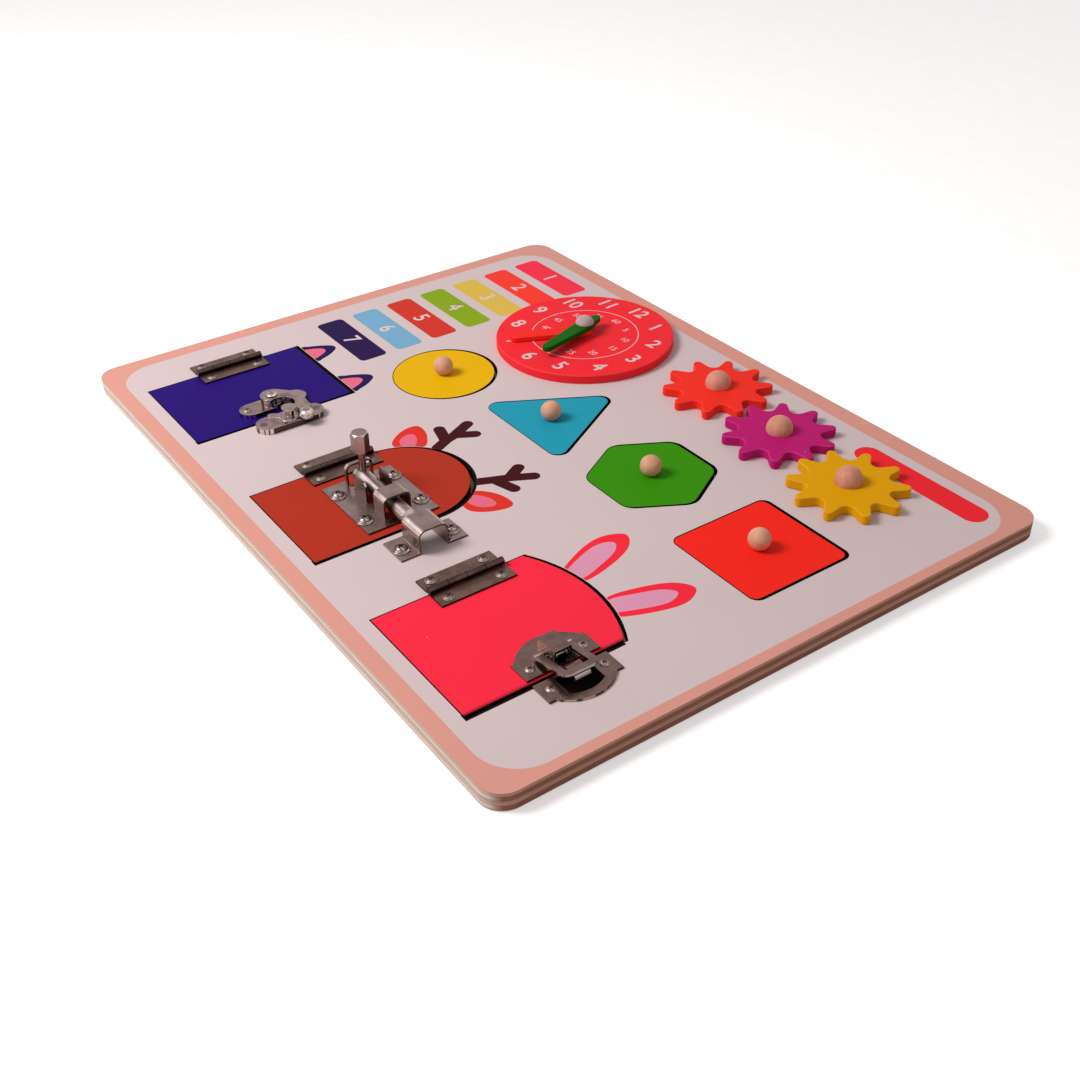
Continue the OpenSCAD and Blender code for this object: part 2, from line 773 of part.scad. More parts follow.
module hinge_board_screws() { for (x = hinge_xs) small_screws(hinge_points(x, -1), leaf_t); }
module blue_hinge_screws() { small_screws(hinge_points(blue_pin_x, 1), leaf_t); }
module brown_hinge_screws() { small_screws(hinge_points(brown_pin_x, 1), leaf_t); }
module pink_hinge_screws() { small_screws(hinge_points(pink_pin_x, 1), leaf_t); }

// ---------------------------------------------------------------- hook latch on the blue door

module at_pivot(z) { translate([hook_pivot[0], hook_pivot[1], z]) children(); }
module at_peg(z) { translate([hook_peg[0], hook_peg[1], z]) children(); }

module hook_base() {
    color("silver") difference() {
        at_pivot(top) {
            linear_extrude(hook_base_t) stadium(hook_base_w, hook_base_len);
            cylinder(r = hook_boss_r, h = hook_boss_h);
        }
        screw_holes(base_points(hook_pivot));
        at_pivot(top + 0.5) cylinder(r = rivet_r, h = hook_boss_h);
    }
}

module hook_rivet() {
    head_z = hook_arm_z + hook_arm_t + hook_gap;
    color("silver") {
        at_pivot(top + 0.5) cylinder(r = rivet_r, h = head_z - top - 0.5 + eps);
        at_pivot(head_z) domed(rivet_head_r, 1.1);
    }
}

// The cast arm: a round end on the rivet, a shoulder for the thumb, and a bar that ends in an
// acorn beyond the peg. The throat is open below, so that the arm swings onto the peg's neck.
shoulder = [7.8, 7];
throat = [11.3, 0.2];
arm_tip = [hook_span - 0.4, 8.4];
acorn = [hook_span + 6.5, 6.6];
module arm_outline() {
    link(hook_head_r, 6.5, [0, 0], shoulder);
    link(3.9, 3.6, shoulder + [0, 2], arm_tip);
    link(3.2, 2, arm_tip, acorn);
}

// Bar between two points, with a round end of its own radius at each.
module link(r1, r2, p, q) {
    translate(p) rotate(atan2(q[1] - p[1], q[0] - p[0])) tapered_bar(r1, r2, norm(q - p));
}

module hook_arm() {
    color("silver") at_pivot(hook_arm_z) {
        difference() {
            linear_extrude(hook_arm_t) difference() {
                arm_outline();
                translate(throat) circle(throat_r);
                translate([hook_head_r, -12]) square([hook_span, 12]);
            }
            translate([0, 0, -1]) cylinder(r = rivet_r + run_fit, h = hook_arm_t + 2);
        }
        translate([acorn[0], acorn[1], 0]) rotate_extrude() acorn_profile();
    }
}

// Acorn: a low skirt below a pointed cap.
module acorn_profile() {
    intersection() {
        square([4.2, 4.3]);
        union() {
            polygon([[0, 0], [3.4, 0], [4.2, 0.8], [4.2, 1.4], [2.4, 3.5], [0, 4.3]]);
            translate([1.2, 1.2]) circle(2.9);
        }
    }
}

// Base on the board with the spool-shaped peg and a rounded finger beside it.
peg_boss_r = 5;
peg_cone_h = 0.8;
peg_rim_h = 0.9;
finger_root = [-1, -1.5];
finger_tip = [-5.8, -7.8];
finger_r = [2.2, 2];
module hook_peg_base() {
    neck_z = hook_boss_h;
    head_z = hook_boss_h + hook_arm_t + 2 * hook_gap;
    color("silver") difference() {
        at_peg(top) {
            linear_extrude(peg_base_t) stadium(peg_base_w, hook_base_len);
            cylinder(r = peg_boss_r, h = neck_z);
            translate([0, 0, neck_z - eps]) cylinder(r = peg_neck_r, h = head_z - neck_z + 2 * eps);
            translate([0, 0, head_z]) cylinder(r1 = peg_neck_r, r2 = peg_head_r, h = peg_cone_h);
            translate([0, 0, head_z + peg_cone_h]) cylinder(r = peg_head_r, h = peg_rim_h);
            translate([0, 0, peg_base_t - 1]) linear_extrude(neck_z - peg_base_t + 0.8)
                link(finger_r[0], finger_r[1], finger_root, finger_tip);
        }
        screw_holes(base_points(hook_peg));
    }
}

module hook_base_screws() { small_screws(base_points(hook_pivot), hook_base_t); }
// These screws are sunk, so that the arm's acorn passes over them.
module hook_peg_screws() {
    color("silver") screws(base_points(hook_peg), small_head_r, 0.2, peg_base_t);
}

// ---------------------------------------------------------------- barrel bolt on the brown door

// Place on the bolt's plate: u is the distance back from the plate's front edge.
module at_bolt(u, z) { translate([bolt_front - u, bolt_y, top + z]) children(); }

module bolt_plate() {
    half = bridge_w / 2 - bolt_t;
    color("silver") difference() {
        union() {
            difference() {
                at_bolt(bolt_plate_len, 0) translate([0, -bolt_plate_w / 2, 0])
                    cube([bolt_plate_len, bolt_plate_w, bolt_t]);
                at_bolt(bolt_plate_len + 1, -1) translate([0, -half, 0])
                    cube([bolt_plate_len + 1 - 3.8, 2 * half, 3]);
            }
            for (w = webs) at_bolt(w[0], 0) translate([0, -half - eps, 0])
                cube([w[1], 2 * half + 2 * eps, bolt_t]);
            at_bolt(front_bridge[0], 0) bridge(front_bridge[1], bridge_w, bridge_h, bridge_r, bolt_t);
            at_bolt(rear_bridge[0], 0) bridge(rear_bridge[1], bridge_w, bridge_h, bridge_r, bolt_t);
            // Tabs on either side of the stem, with clipped top corners
            for (s = [-1, 1]) at_bolt(tab[0], 0) translate([0, s * (half + bolt_t / 2) + bolt_t / 2, 0])
                rotate([90, 0, 0]) linear_extrude(bolt_t)
                    polygon([[0, 0], [tab[1], 0], [tab[1], bridge_h - 2], [tab[1] - 1.5, bridge_h - 0.5],
                             [1.5, bridge_h - 0.5], [0, bridge_h - 2]]);
        }
        screw_holes(bolt_points());
    }
}

module pan_screws(points) { color("gainsboro") screws(points, pan_head_r, pan_head_h, bolt_t); }

module bolt_plate_screws() { pan_screws(bolt_points()); }

module bolt_rod() {
    color("silver") translate([rod_tip - rod_len, bolt_y, rod_z]) rotate([0, 90, 0]) rotate_extrude()
        polygon([[0, 0], [rod_r - 0.8, 0], [rod_r, 0.8],
                 [rod_r, rod_len - 1.6], [rod_r - 1.6, rod_len], [0, rod_len]]);
}

// Six-sided knob on a stem whose foot is hollowed to run round the rod.
module bolt_knob() {
    color("gainsboro") translate([stem_x, bolt_y, rod_z]) difference() {
        union() {
            translate([0, 0, rod_r - 1]) cylinder(r = stem_r, h = knob_start - rod_r + 1 + eps);
            translate([0, 0, knob_start - 1.5]) cylinder(r1 = stem_r, r2 = knob_r * 0.7, h = 1.5 + eps);
            translate([0, 0, knob_start]) intersection() {
                cylinder(r = knob_r, h = knob_len, $fn = 6);
                rotate_extrude() polygon([[0, 0], [knob_r * 0.82, 0], [knob_r, 0.9],
                    [knob_r, knob_len - 0.9], [knob_r * 0.82, knob_len], [0, knob_len]]);
            }
        }
        rotate([0, 90, 0]) cylinder(r = rod_r + run_fit, h = 4 * stem_r, center = true);
    }
}

module bolt_keeper() {
    half = keeper_bridge_w / 2 - bolt_t;
    color("silver") difference() {
        translate([keeper_x, bolt_y, top]) {
            difference() {
                translate([0, -keeper_w / 2, 0]) cube([keeper_len, keeper_w, bolt_t]);
                translate([-1, -half, -1]) cube([keeper_len + 2, 2 * half, 3]);
            }
            translate([1.4, 0, 0]) bridge(keeper_len - 1.6, keeper_bridge_w, bridge_h, keeper_r, bolt_t);
        }
        screw_holes(keeper_points());
    }
}

module bolt_keeper_screws() { pan_screws(keeper_points()); }

// ---------------------------------------------------------------- box latch on the pink door

// Outline of a plate: a straight part with its edge on X = 0, and a round part that reaches -X.
module box_outline(reach) {
    translate([-box_plate_w, -box_plate_len / 2]) square([box_plate_w, box_plate_len]);
    intersection() {
        translate([box_round_r - reach, 0]) circle(box_round_r, $fn = 180);
        translate([-reach - 1, -box_plate_len / 2 + 2]) square([reach + 1, box_plate_len - 4]);
    }
}

// The opening that is left in the catch plate where its tongue is bent up.
catch_rim = 4;
opening_w = 17.2;
module catch_opening() {
    translate([catch_x, box_y]) intersection() {
        translate([-1.4, 0]) circle(catch_reach + 1.4 - catch_rim);
        translate([1.3, -opening_w / 2]) square([catch_reach, opening_w]);
    }
}

module at_lever() { translate([pivot_x, box_y, pivot_z]) children(); }

// Disc or bar along Y, centred on the lever's middle plane.
module across(r, w) { rotate([90, 0, 0]) cylinder(r = r, h = w, center = true); }

ear_out = lever_w / 2 - lever_t - 0.3;      // outer face of the ears, inside the lever's walls
ear_r = 2;

// Plate with two ears bent up inside the lever, which hold its pin.
module box_latch_plate() {
    drop = pivot_z - top - box_plate_t / 2;
    color("slategray") difference() {
        union() {
            translate([box_edge, box_y, top]) linear_extrude(box_plate_t) box_outline(box_reach);
            at_lever() for (s = [-1, 1]) translate([0, s * (ear_out - lever_t / 2), 0]) {
                across(ear_r, lever_t);
                translate([-ear_r, -lever_t / 2, -drop]) cube([2 * ear_r, lever_t, drop]);
            }
        }
        at_lever() across(lever_pin_r, lever_w);
        screw_holes(box_points(box_screw_x));
    }
}

module box_latch_pin() {
    color("silver") at_lever() across(lever_pin_r, lever_w + 0.8);
}

// Folded box, open below and at its front end, with a slot in each side for the link's bar.
module box_latch_lever() {
    back = lever_len - lever_pivot;
    height = lever_h - lever_pivot;
    slot_r = link_bar_r + run_fit;
    color("slategray") at_lever() difference() {
        rotate([90, 0, 0]) linear_extrude(lever_w, center = true) difference() {
            union() {
                translate([-back, -lever_pivot]) square([back, lever_h]);
                translate([-1, 0]) square([lever_pivot + 1, height]);
                circle(lever_pivot);
            }
            translate([bar_x - pivot_x, bar_z - pivot_z]) {
                circle(slot_r);
                translate([-slot_r, -lever_h]) square([2 * slot_r, lever_h]);
            }
        }
        translate([-back + lever_t, -lever_w / 2 + lever_t, -lever_h])
            cube([lever_len + 1, lever_w - 2 * lever_t, height + lever_h - lever_t]);
        across(lever_pin_r + run_fit, lever_w + 1);
    }
}

// Flat ring with a round bar at its back end, lifted off the catch by its angle.
module box_latch_link() {
    inner = link_w / 2 - link_strip;
    color("slategray") translate([bar_x, box_y, bar_z]) rotate([0, -link_lift, 0]) {
        translate([0, 0, -link_t / 2]) linear_extrude(link_t) difference() {
            union() {
                translate([0, -link_w / 2]) square([link_len - 4, link_w]);
                translate([0, -link_w / 2 + 4]) square([link_len, link_w - 8]);
                for (s = [-1, 1]) translate([link_len - 4, s * (link_w / 2 - 4)]) circle(4);
            }
            translate([-1, -inner]) square([link_len - link_strip + 1 - 1.2, 2 * inner]);
            translate([-1, -inner + 1.2]) square([link_len - link_strip + 1, 2 * inner - 2.4]);
            for (s = [-1, 1]) translate([link_len - link_strip - 1.2, s * (inner - 1.2)]) circle(1.2);
        }
        across(link_bar_r, link_w);
    }
}

// Catch plate with its tongue: up from the plate's edge, over, and curled down at the tip.
module catch_plate() {
    nose = 2;
    color("slategray") difference() {
        union() {
            difference() {
                translate([catch_x, box_y, top]) mirror([1, 0, 0]) linear_extrude(box_plate_t)
                    box_outline(catch_reach);
                translate([0, 0, top - 1]) linear_extrude(box_plate_t + 2) catch_opening();
            }
            translate([catch_x + 0.3, box_y, top]) rotate([90, 0, 0])
                linear_extrude(tongue_w, center = true) difference() {
                    union() {
                        square([box_plate_t, tongue_h - nose]);
                        translate([nose, tongue_h - nose]) circle(nose);
                        translate([nose, tongue_h - box_plate_t])
                            square([tongue_len - 2 * nose, box_plate_t]);
                        translate([tongue_len - nose, tongue_h - nose]) circle(nose);
                    }
                    for (x = [nose, tongue_len - nose])
                        translate([x, tongue_h - nose]) circle(nose - box_plate_t);
                    translate([box_plate_t, -1])
                        square([tongue_len - nose - box_plate_t, tongue_h - nose + 1]);
                    translate([nose, -1]) square([tongue_len - 2 * nose, tongue_h - box_plate_t + 1]);
                    translate([tongue_len - nose - eps, -1])
                        square([nose + 1, tongue_h - 1.5 * nose + 1]);
                }
        }
        screw_holes(box_points(catch_screw_x));
    }
}

module box_latch_screws() { small_screws(box_points(box_screw_x), box_plate_t); }
module catch_screws() { small_screws(box_points(catch_screw_x), box_plate_t); }

// ---------------------------------------------------------------- nodes

backing_board();
top_board();
blue_door();
brown_door();
pink_door();
circle_piece();
triangle_piece();
hexagon_piece();
square_piece();
circle_knob();
triangle_knob();
hexagon_knob();
square_knob();
clock_dial();
clock_pin();
hour_hand();
minute_hand();
red_gear();
purple_gear();
yellow_gear();
red_gear_peg();
purple_gear_peg();
yellow_gear_peg();
blue_hinge_board_leaf();
blue_hinge_door_leaf();
blue_hinge_pin();
brown_hinge_board_leaf();
brown_hinge_door_leaf();
brown_hinge_pin();
pink_hinge_board_leaf();
pink_hinge_door_leaf();
pink_hinge_pin();
hinge_board_screws();
blue_hinge_screws();
brown_hinge_screws();
pink_hinge_screws();
hook_base();
hook_rivet();
hook_arm();
hook_base_screws();
hook_peg_base();
hook_peg_screws();
bolt_plate();
bolt_plate_screws();
bolt_rod();
bolt_knob();
bolt_keeper();
bolt_keeper_screws();
box_latch_plate();
box_latch_screws();
box_latch_pin();
box_latch_lever();
box_latch_link();
catch_plate();
catch_screws();
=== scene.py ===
# %% [markdown]
# # Dressing a wooden busy board
# The board's solids come from its construction model: two plywood sheets, three doors, four
# lift-out pieces, a clock, three gears and small metal latches. They arrive here in metres with
# every piece in its place. This lesson gives them soft edges, paint, wood and metal, routes the
# gears a little finer, adds the screws' flanges and the print, and sets up a small studio.

# %% The solids, and the box they fill
import json
import math

import bmesh
import bpy
from mathutils import Matrix, Vector


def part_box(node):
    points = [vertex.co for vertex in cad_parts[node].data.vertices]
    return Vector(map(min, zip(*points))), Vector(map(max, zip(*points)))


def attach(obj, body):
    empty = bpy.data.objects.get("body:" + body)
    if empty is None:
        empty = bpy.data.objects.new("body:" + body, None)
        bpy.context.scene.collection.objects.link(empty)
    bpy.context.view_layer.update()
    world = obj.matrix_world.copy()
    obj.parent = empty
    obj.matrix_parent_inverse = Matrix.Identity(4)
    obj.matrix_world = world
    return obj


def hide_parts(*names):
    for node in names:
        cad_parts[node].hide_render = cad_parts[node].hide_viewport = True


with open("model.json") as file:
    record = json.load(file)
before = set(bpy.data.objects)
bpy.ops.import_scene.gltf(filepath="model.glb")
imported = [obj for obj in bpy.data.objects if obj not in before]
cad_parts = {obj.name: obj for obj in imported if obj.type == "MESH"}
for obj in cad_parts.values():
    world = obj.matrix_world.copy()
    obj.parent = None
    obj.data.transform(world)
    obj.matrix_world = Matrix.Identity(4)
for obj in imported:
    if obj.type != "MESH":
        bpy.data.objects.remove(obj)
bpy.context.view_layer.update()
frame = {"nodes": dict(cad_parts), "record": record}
solids = frame["nodes"]
MM = 0.001

# %% [markdown]
# ## Camera
# The photograph looks down on the board's lower right corner. Its straight edges and right angles
# fix the camera: a place, three directions and a focal length. A camera could be aimed with a
# Track To constraint, but a matrix made of those three directions also keeps the exact roll.

# %% Camera
eye = Vector((486.33, -322.39, 356.78)) * MM
right = Vector((0.57380, 0.81877, -0.01943))
down = Vector((0.46247, -0.34350, -0.81739))
ahead = Vector((-0.67593, 0.46003, -0.57576))
lens = bpy.data.cameras.new("studio_camera")
lens.sensor_width, lens.lens = 36, 44.80
lens.clip_start, lens.clip_end = 0.01, 20
camera = bpy.data.objects.new("studio_camera", lens)
camera.matrix_world = Matrix.Translation(eye) @ Matrix((right, -down, -ahead)).transposed().to_4x4()
bpy.context.scene.collection.objects.link(camera)
bpy.context.scene.camera = camera
print("camera", round(eye.length, 3), "m from the board's middle")

# %% [markdown]
# ## Small helpers for node trees
# Materials below are built from nodes, and each node takes one line: its kind, what goes into it,
# and its settings. `put` adds a node and fills its inputs with values or with other nodes'
# outputs. `calc`, `mix`, `fade` and `noise` are the ones that are used most, and `coordinate`
# tells where a point lies along one axis, or how far its surface faces along it.

# %% Helpers for nodes
def srgb(r, g, b):
    """A colour as it is read off a screen, 0 to 255, as the linear colour that Blender wants."""
    return tuple((v / 12.92 if v <= 0.04045 else ((v + 0.055) / 1.055) ** 2.4)
                 for v in (r / 255, g / 255, b / 255)) + (1.0,)


def put(tree, kind, inputs=None, **settings):
    made = tree.nodes.new("ShaderNode" + kind)
    for name, value in settings.items():
        setattr(made, name, value)
    for key, value in (inputs or {}).items():
        if isinstance(value, bpy.types.NodeSocket):
            tree.links.new(value, made.inputs[key])
        else:
            made.inputs[key].default_value = value
    return made


def calc(tree, kind, a, b=0.0, c=0.0):
    return put(tree, "Math", {0: a, 1: b, 2: c}, operation=kind).outputs[0]


def mix(tree, share, a, b, kind="MIX"):
    made = put(tree, "Mix", data_type="RGBA", blend_type=kind)
    for key, value in ((0, share), (6, a), (7, b)):
        if isinstance(value, bpy.types.NodeSocket):
            tree.links.new(value, made.inputs[key])
        else:
            made.inputs[key].default_value = value
    return made.outputs[2]


def fade(tree, value, low, high, to_low=0.0, to_high=1.0):
    """Value from low to high, turned into to_low to to_high, and held beyond them."""
    return put(tree, "MapRange", {0: value, 1: low, 2: high, 3: to_low, 4: to_high}).outputs[0]


def noise(tree, place, scale, detail=2.0, stretch=(1, 1, 1)):
    """Noise of so many blotches to the metre, drawn out along the axes whose factor is small."""
    moved = put(tree, "Mapping", {0: place, 3: stretch}).outputs[0]
    return put(tree, "TexNoise", {"Vector": moved, "Scale": scale, "Detail": detail}).outputs[0]


def rest(tree, share):
    """What a share leaves of one."""
    return calc(tree, "SUBTRACT", 1.0, share)


def shaded(tree, color, value):
    """A colour made lighter or darker by a factor."""
    return put(tree, "HueSaturation", {"Value": value, "Color": color}).outputs[0]


def coordinate(tree, axis, kind="Object"):
    """One axis of the place in the object, or of the surface's Normal."""
    return put(tree, "SeparateXYZ", {0: put(tree, "TexCoord").outputs[kind]}).outputs[axis]


def new_group(name, inputs, outputs):
    """A shader node group with named sockets: its tree, what it takes and what it gives."""
    tree = bpy.data.node_groups.new(name, "ShaderNodeTree")
    for label, kind, value in inputs:
        socket = tree.interface.new_socket(label, in_out="INPUT", socket_type="NodeSocket" + kind)
        socket.default_value = value
    for label, kind in outputs:
        tree.interface.new_socket(label, in_out="OUTPUT", socket_type="NodeSocket" + kind)
    return tree, tree.nodes.new("NodeGroupInput").outputs, tree.nodes.new("NodeGroupOutput").inputs


print("node helpers ready")

# %% [markdown]
# ## Effect: satin paint
# Children's boards are sprayed or screen printed with satin paint over sanded plywood. Up close
# the coat has a fine orange peel, the grain below shows through as faint lines, and the colour
# drifts a little from place to place, with a few specks of dust. An image could hold all that,
# but noise in object space fits every piece at the right scale and moves with it.

# %% Group: satin paint
tree, taken, given = new_group("satin_paint", [
    ("Paint", "Color", (0.8, 0.8, 0.8, 1)), ("Drift", "Float", 0.12), ("Grain", "Float", 0.5),
    ("Specks", "Float", 0.3)],
    [("Color", "Color"), ("Roughness", "Float"), ("Height", "Float")])
place = put(tree, "TexCoord").outputs["Object"]
blotches = noise(tree, place, 16, 3)
fine = noise(tree, place, 900, 3)
grain = noise(tree, place, 60, 4, (0.12, 9, 9))
swing = calc(tree, "ADD", calc(tree, "SUBTRACT", blotches, 0.5), calc(tree, "SUBTRACT", fine, 0.5))
level = calc(tree, "MULTIPLY_ADD", swing, taken["Drift"], 1.0)
tint = shaded(tree, taken["Paint"], level)
dots = put(tree, "TexVoronoi", {"Vector": place, "Scale": 140.0})
chance = put(tree, "SeparateColor", {0: dots.outputs["Color"]}).outputs[0]
speck = calc(tree, "MULTIPLY", fade(tree, dots.outputs["Distance"], 0.03, 0.07, 1, 0),
             calc(tree, "GREATER_THAN", chance, 0.93))
dusty = mix(tree, calc(tree, "MULTIPLY", speck, taken["Specks"]), tint, srgb(225, 215, 210))
tree.links.new(dusty, given["Color"])
tree.links.new(fade(tree, blotches, 0.3, 0.7, 0.36, 0.48), given["Roughness"])
relief = calc(tree, "MULTIPLY_ADD", grain, taken["Grain"], calc(tree, "MULTIPLY", fine, 0.4))
tree.links.new(relief, given["Height"])
paint_group = tree
print("group", tree.name, len(tree.nodes), "nodes")

# %% [markdown]
# ## Effect: plywood layers on cut edges
# Each sheet is three plies. Where plies are cut along their grain they are pale, and where they
# are cut across it they are darker and streaked. The outer plies run along Y and the middle one
# along X, so the core is dark on the board's short edges and pale on the long ones. Height within
# the sheet picks the ply, and the direction that the surface faces picks the cut. Level faces
# show the outer veneer, whose grain runs along Y. The short edges carry painted shade: their
# colours are multiplied by a darker brown.

# %% Group: plywood layers
tree, taken, given = new_group("ply_layers", [
    ("Pale", "Color", srgb(222, 202, 190)), ("Dark", "Color", srgb(158, 104, 86)),
    ("Scorch", "Color", srgb(212, 176, 166)), ("Sheet", "Float", 0.0045), ("Ply", "Float", 0.0012)],
    [("Color", "Color"), ("Roughness", "Float"), ("Height", "Float")])
wave, core_shift, soft_line = 0.0004, 0.0004, (0.00006, 0.0002)
place = put(tree, "TexCoord").outputs["Object"]
z = calc(tree, "SUBTRACT", coordinate(tree, 2), wave / 2)
wavy = calc(tree, "MULTIPLY_ADD", noise(tree, place, 30, 1), wave, z)
half_sheet = calc(tree, "MULTIPLY", taken["Sheet"], 0.5)
level = calc(tree, "SUBTRACT", calc(tree, "FLOORED_MODULO", wavy, taken["Sheet"]), half_sheet)
from_middle = calc(tree, "ABSOLUTE", calc(tree, "ADD", level, core_shift))
inside = calc(tree, "SUBTRACT", calc(tree, "SUBTRACT", half_sheet, taken["Ply"]), from_middle)
core = fade(tree, inside, -0.00012, 0.00012)
short_edge = fade(tree, calc(tree, "ABSOLUTE", coordinate(tree, 0, "Normal")), 0.5, 0.85)
flat = fade(tree, calc(tree, "ABSOLUTE", coordinate(tree, 2, "Normal")), 0.6, 0.8)
sawn_side = rest(tree, flat)
core_across = calc(tree, "MULTIPLY", core, short_edge)
outer_across = calc(tree, "MULTIPLY", rest(tree, core), rest(tree, short_edge))
across = calc(tree, "MULTIPLY", calc(tree, "MAXIMUM", core_across, outer_across), sawn_side)
sawn = calc(tree, "MULTIPLY", noise(tree, place, 240, 3, (0.4, 0.4, 6)), sawn_side)
veneer = calc(tree, "MULTIPLY", noise(tree, place, 130, 5, (1, 0.05, 1)), flat)
streaks = calc(tree, "ADD", sawn, veneer)
streaked = calc(tree, "MULTIPLY", across, fade(tree, streaks, 0.3, 0.7, 0.6, 1.0))
shade = calc(tree, "MULTIPLY", streaked, fade(tree, short_edge, 0, 1, 0.4, 0.9))
wood = mix(tree, shade, taken["Pale"], taken["Dark"])
# Painted shade: the short edges' colours are multiplied by a darker brown.
wood = mix(tree, short_edge, wood, taken["Scorch"], "MULTIPLY")
faded = shaded(tree, wood, fade(tree, streaks, 0.3, 0.7, 0.9, 1.06))
glue = fade(tree, calc(tree, "ABSOLUTE", inside), *soft_line, 0.55, 0.0)
to_seam = calc(tree, "SUBTRACT", half_sheet, calc(tree, "ABSOLUTE", level))
seam = fade(tree, to_seam, *soft_line, 0.7, 0.0)
lines = calc(tree, "MULTIPLY", calc(tree, "MAXIMUM", glue, seam), sawn_side)
lined = mix(tree, lines, faded, srgb(92, 50, 42))
tree.links.new(lined, given["Color"])
tree.links.new(fade(tree, streaks, 0.3, 0.7, 0.55, 0.75), given["Roughness"])
tree.links.new(calc(tree, "MULTIPLY", streaks, calc(tree, "ADD", across, 0.4)), given["Height"])
ply_group = tree
print("group", tree.name, len(tree.nodes), "nodes")

# %% [markdown]
# ## Effect: the burnt edge of a laser cut
# The doors and the loose pieces are cut out of the front sheet with a laser, which leaves both
# sides of the cut brown-black. That dark rim is what outlines every door and piece in the
# photograph. It is a matt, streaky near-black, with fine ridges along the beam.

# %% Group: laser cut
tree, taken, given = new_group("laser_cut", [("Char", "Color", srgb(22, 11, 9))],
                               [("Color", "Color"), ("Roughness", "Float"), ("Height", "Float")])
place = put(tree, "TexCoord").outputs["Object"]
ridges = noise(tree, place, 700, 2, (1, 1, 0.15))
soot = noise(tree, place, 120, 2)
burnt = shaded(tree, taken["Char"], fade(tree, soot, 0.3, 0.7, 0.6, 1.4))
tree.links.new(burnt, given["Color"])
tree.links.new(fade(tree, soot, 0.3, 0.7, 0.7, 0.9), given["Roughness"])
tree.links.new(ridges, given["Height"])
char_group = tree
print("group", tree.name, len(tree.nodes), "nodes")

# %% [markdown]
# ## Effect: rubbed and highlit edges
# Hands and cloths rub the arrises of painted wood and pressed metal first, so they are a little
# lighter and smoother than the flats; here only their colour changes. On the metals this lighter
# colour is mostly a painted highlight. The soft edges of these straight-sided pieces lean between
# upright and level, so the tilt of the surface finds them without any painting by hand.

# %% Group: rubbed edges
tree, taken, given = new_group("rubbed_edge", [("Wear", "Float", 0.5)], [("Mask", "Float")])
place = put(tree, "TexCoord").outputs["Object"]
lean = coordinate(tree, 2, "Normal")
sideways = calc(tree, "SQRT", calc(tree, "SUBTRACT", 1.0001, calc(tree, "MULTIPLY", lean, lean)))
tilt = calc(tree, "MULTIPLY", calc(tree, "ABSOLUTE", lean), sideways)
patchy = fade(tree, noise(tree, place, 110, 3), 0.35, 0.65)
edge = calc(tree, "MULTIPLY", fade(tree, tilt, 0.2, 0.45), fade(tree, patchy, 0, 1, 0.35, 1.0))
tree.links.new(calc(tree, "MULTIPLY", edge, taken["Wear"]), given["Mask"])
edge_group = tree
print("group", tree.name, len(tree.nodes), "nodes")

# %% [markdown]
# ## Effect: plated metal
# The small hardware is pressed or cast and then nickel plated. Plating dulls in clouds, carries
# smudges from fingers, and has fine scratches from tumbling in a barrel with the other pieces.
# Upright walls and curls are darkened towards the tarnish colour as painted shade, which stands
# for the dark that mirror-like plating shows there. Round a bend, noise over the facing direction,
# not over the place, paints highlights and reflections that flow round every bend and leave the
# flats alone. Size sets how coarse it all is, so that one effect serves hinges, latches and
# screw heads.

# %% Group: plated metal
tree, taken, given = new_group("plated_metal", [
    ("Metal", "Color", (0.5, 0.5, 0.5, 1)), ("Tarnish", "Color", (0.2, 0.15, 0.12, 1)),
    ("Clouds", "Float", 0.5), ("Walls", "Float", 0.6), ("Gloss Low", "Float", 0.2),
    ("Gloss High", "Float", 0.45), ("Scratches", "Float", 0.5), ("Glints", "Float", 0.5),
    ("Size", "Float", 1.0)],
    [("Color", "Color"), ("Roughness", "Float"), ("Height", "Float")])
coords = put(tree, "TexCoord").outputs
lean = coordinate(tree, 2, "Normal")
scaled = put(tree, "VectorMath", {0: coords["Object"], "Scale": taken["Size"]}, operation="SCALE")
place = scaled.outputs[0]
clouds = noise(tree, place, 150, 4)
lines_x = fade(tree, noise(tree, place, 1300, 2, (0.06, 1, 1)), 0.6, 0.75)
lines_y = fade(tree, noise(tree, place, 1300, 2, (1, 0.06, 1)), 0.6, 0.75)
scratch = calc(tree, "MULTIPLY", calc(tree, "ADD", lines_x, lines_y), taken["Scratches"])
pits = calc(tree, "MULTIPLY", noise(tree, place, 1800, 2), 0.5)
# Painted shade: upright walls and curls darken towards the tarnish colour.
walls = calc(tree, "MULTIPLY", fade(tree, lean, 0.9, 0.1), taken["Walls"])
cloudy = calc(tree, "MULTIPLY", fade(tree, clouds, 0.42, 0.72), taken["Clouds"])
aged = mix(tree, calc(tree, "MAXIMUM", cloudy, walls), taken["Metal"], taken["Tarnish"])
# Painted highlights and reflections: noise over the facing direction lightens parts of each bend.
turned = fade(tree, noise(tree, coords["Normal"], 3.1, 1), 0.5, 0.58)
bent = calc(tree, "MULTIPLY", turned, fade(tree, lean, 0.985, 0.93))
aged = mix(tree, calc(tree, "MULTIPLY", bent, taken["Glints"]), aged, srgb(240, 228, 220))
bright = shaded(tree, aged, calc(tree, "MULTIPLY_ADD", scratch, 0.3, 1.0))
tree.links.new(bright, given["Color"])
worn = calc(tree, "MULTIPLY_ADD", scratch, 0.15, clouds)
gloss = fade(tree, worn, 0.3, 0.75, taken["Gloss Low"], taken["Gloss High"])
tree.links.new(gloss, given["Roughness"])
tree.links.new(calc(tree, "MULTIPLY_ADD", scratch, -0.5, pits), given["Height"])
metal_group = tree
print("group", tree.name, len(tree.nodes), "nodes")

# %% [markdown]
# ## Effect: turned beech
# Knobs are turned from beech and lightly lacquered. Beech is pale and even, with soft growth
# bands and thousands of short darker flecks along the grain. The grain of a turned knob runs
# up through it, so the noise is drawn out along Z.

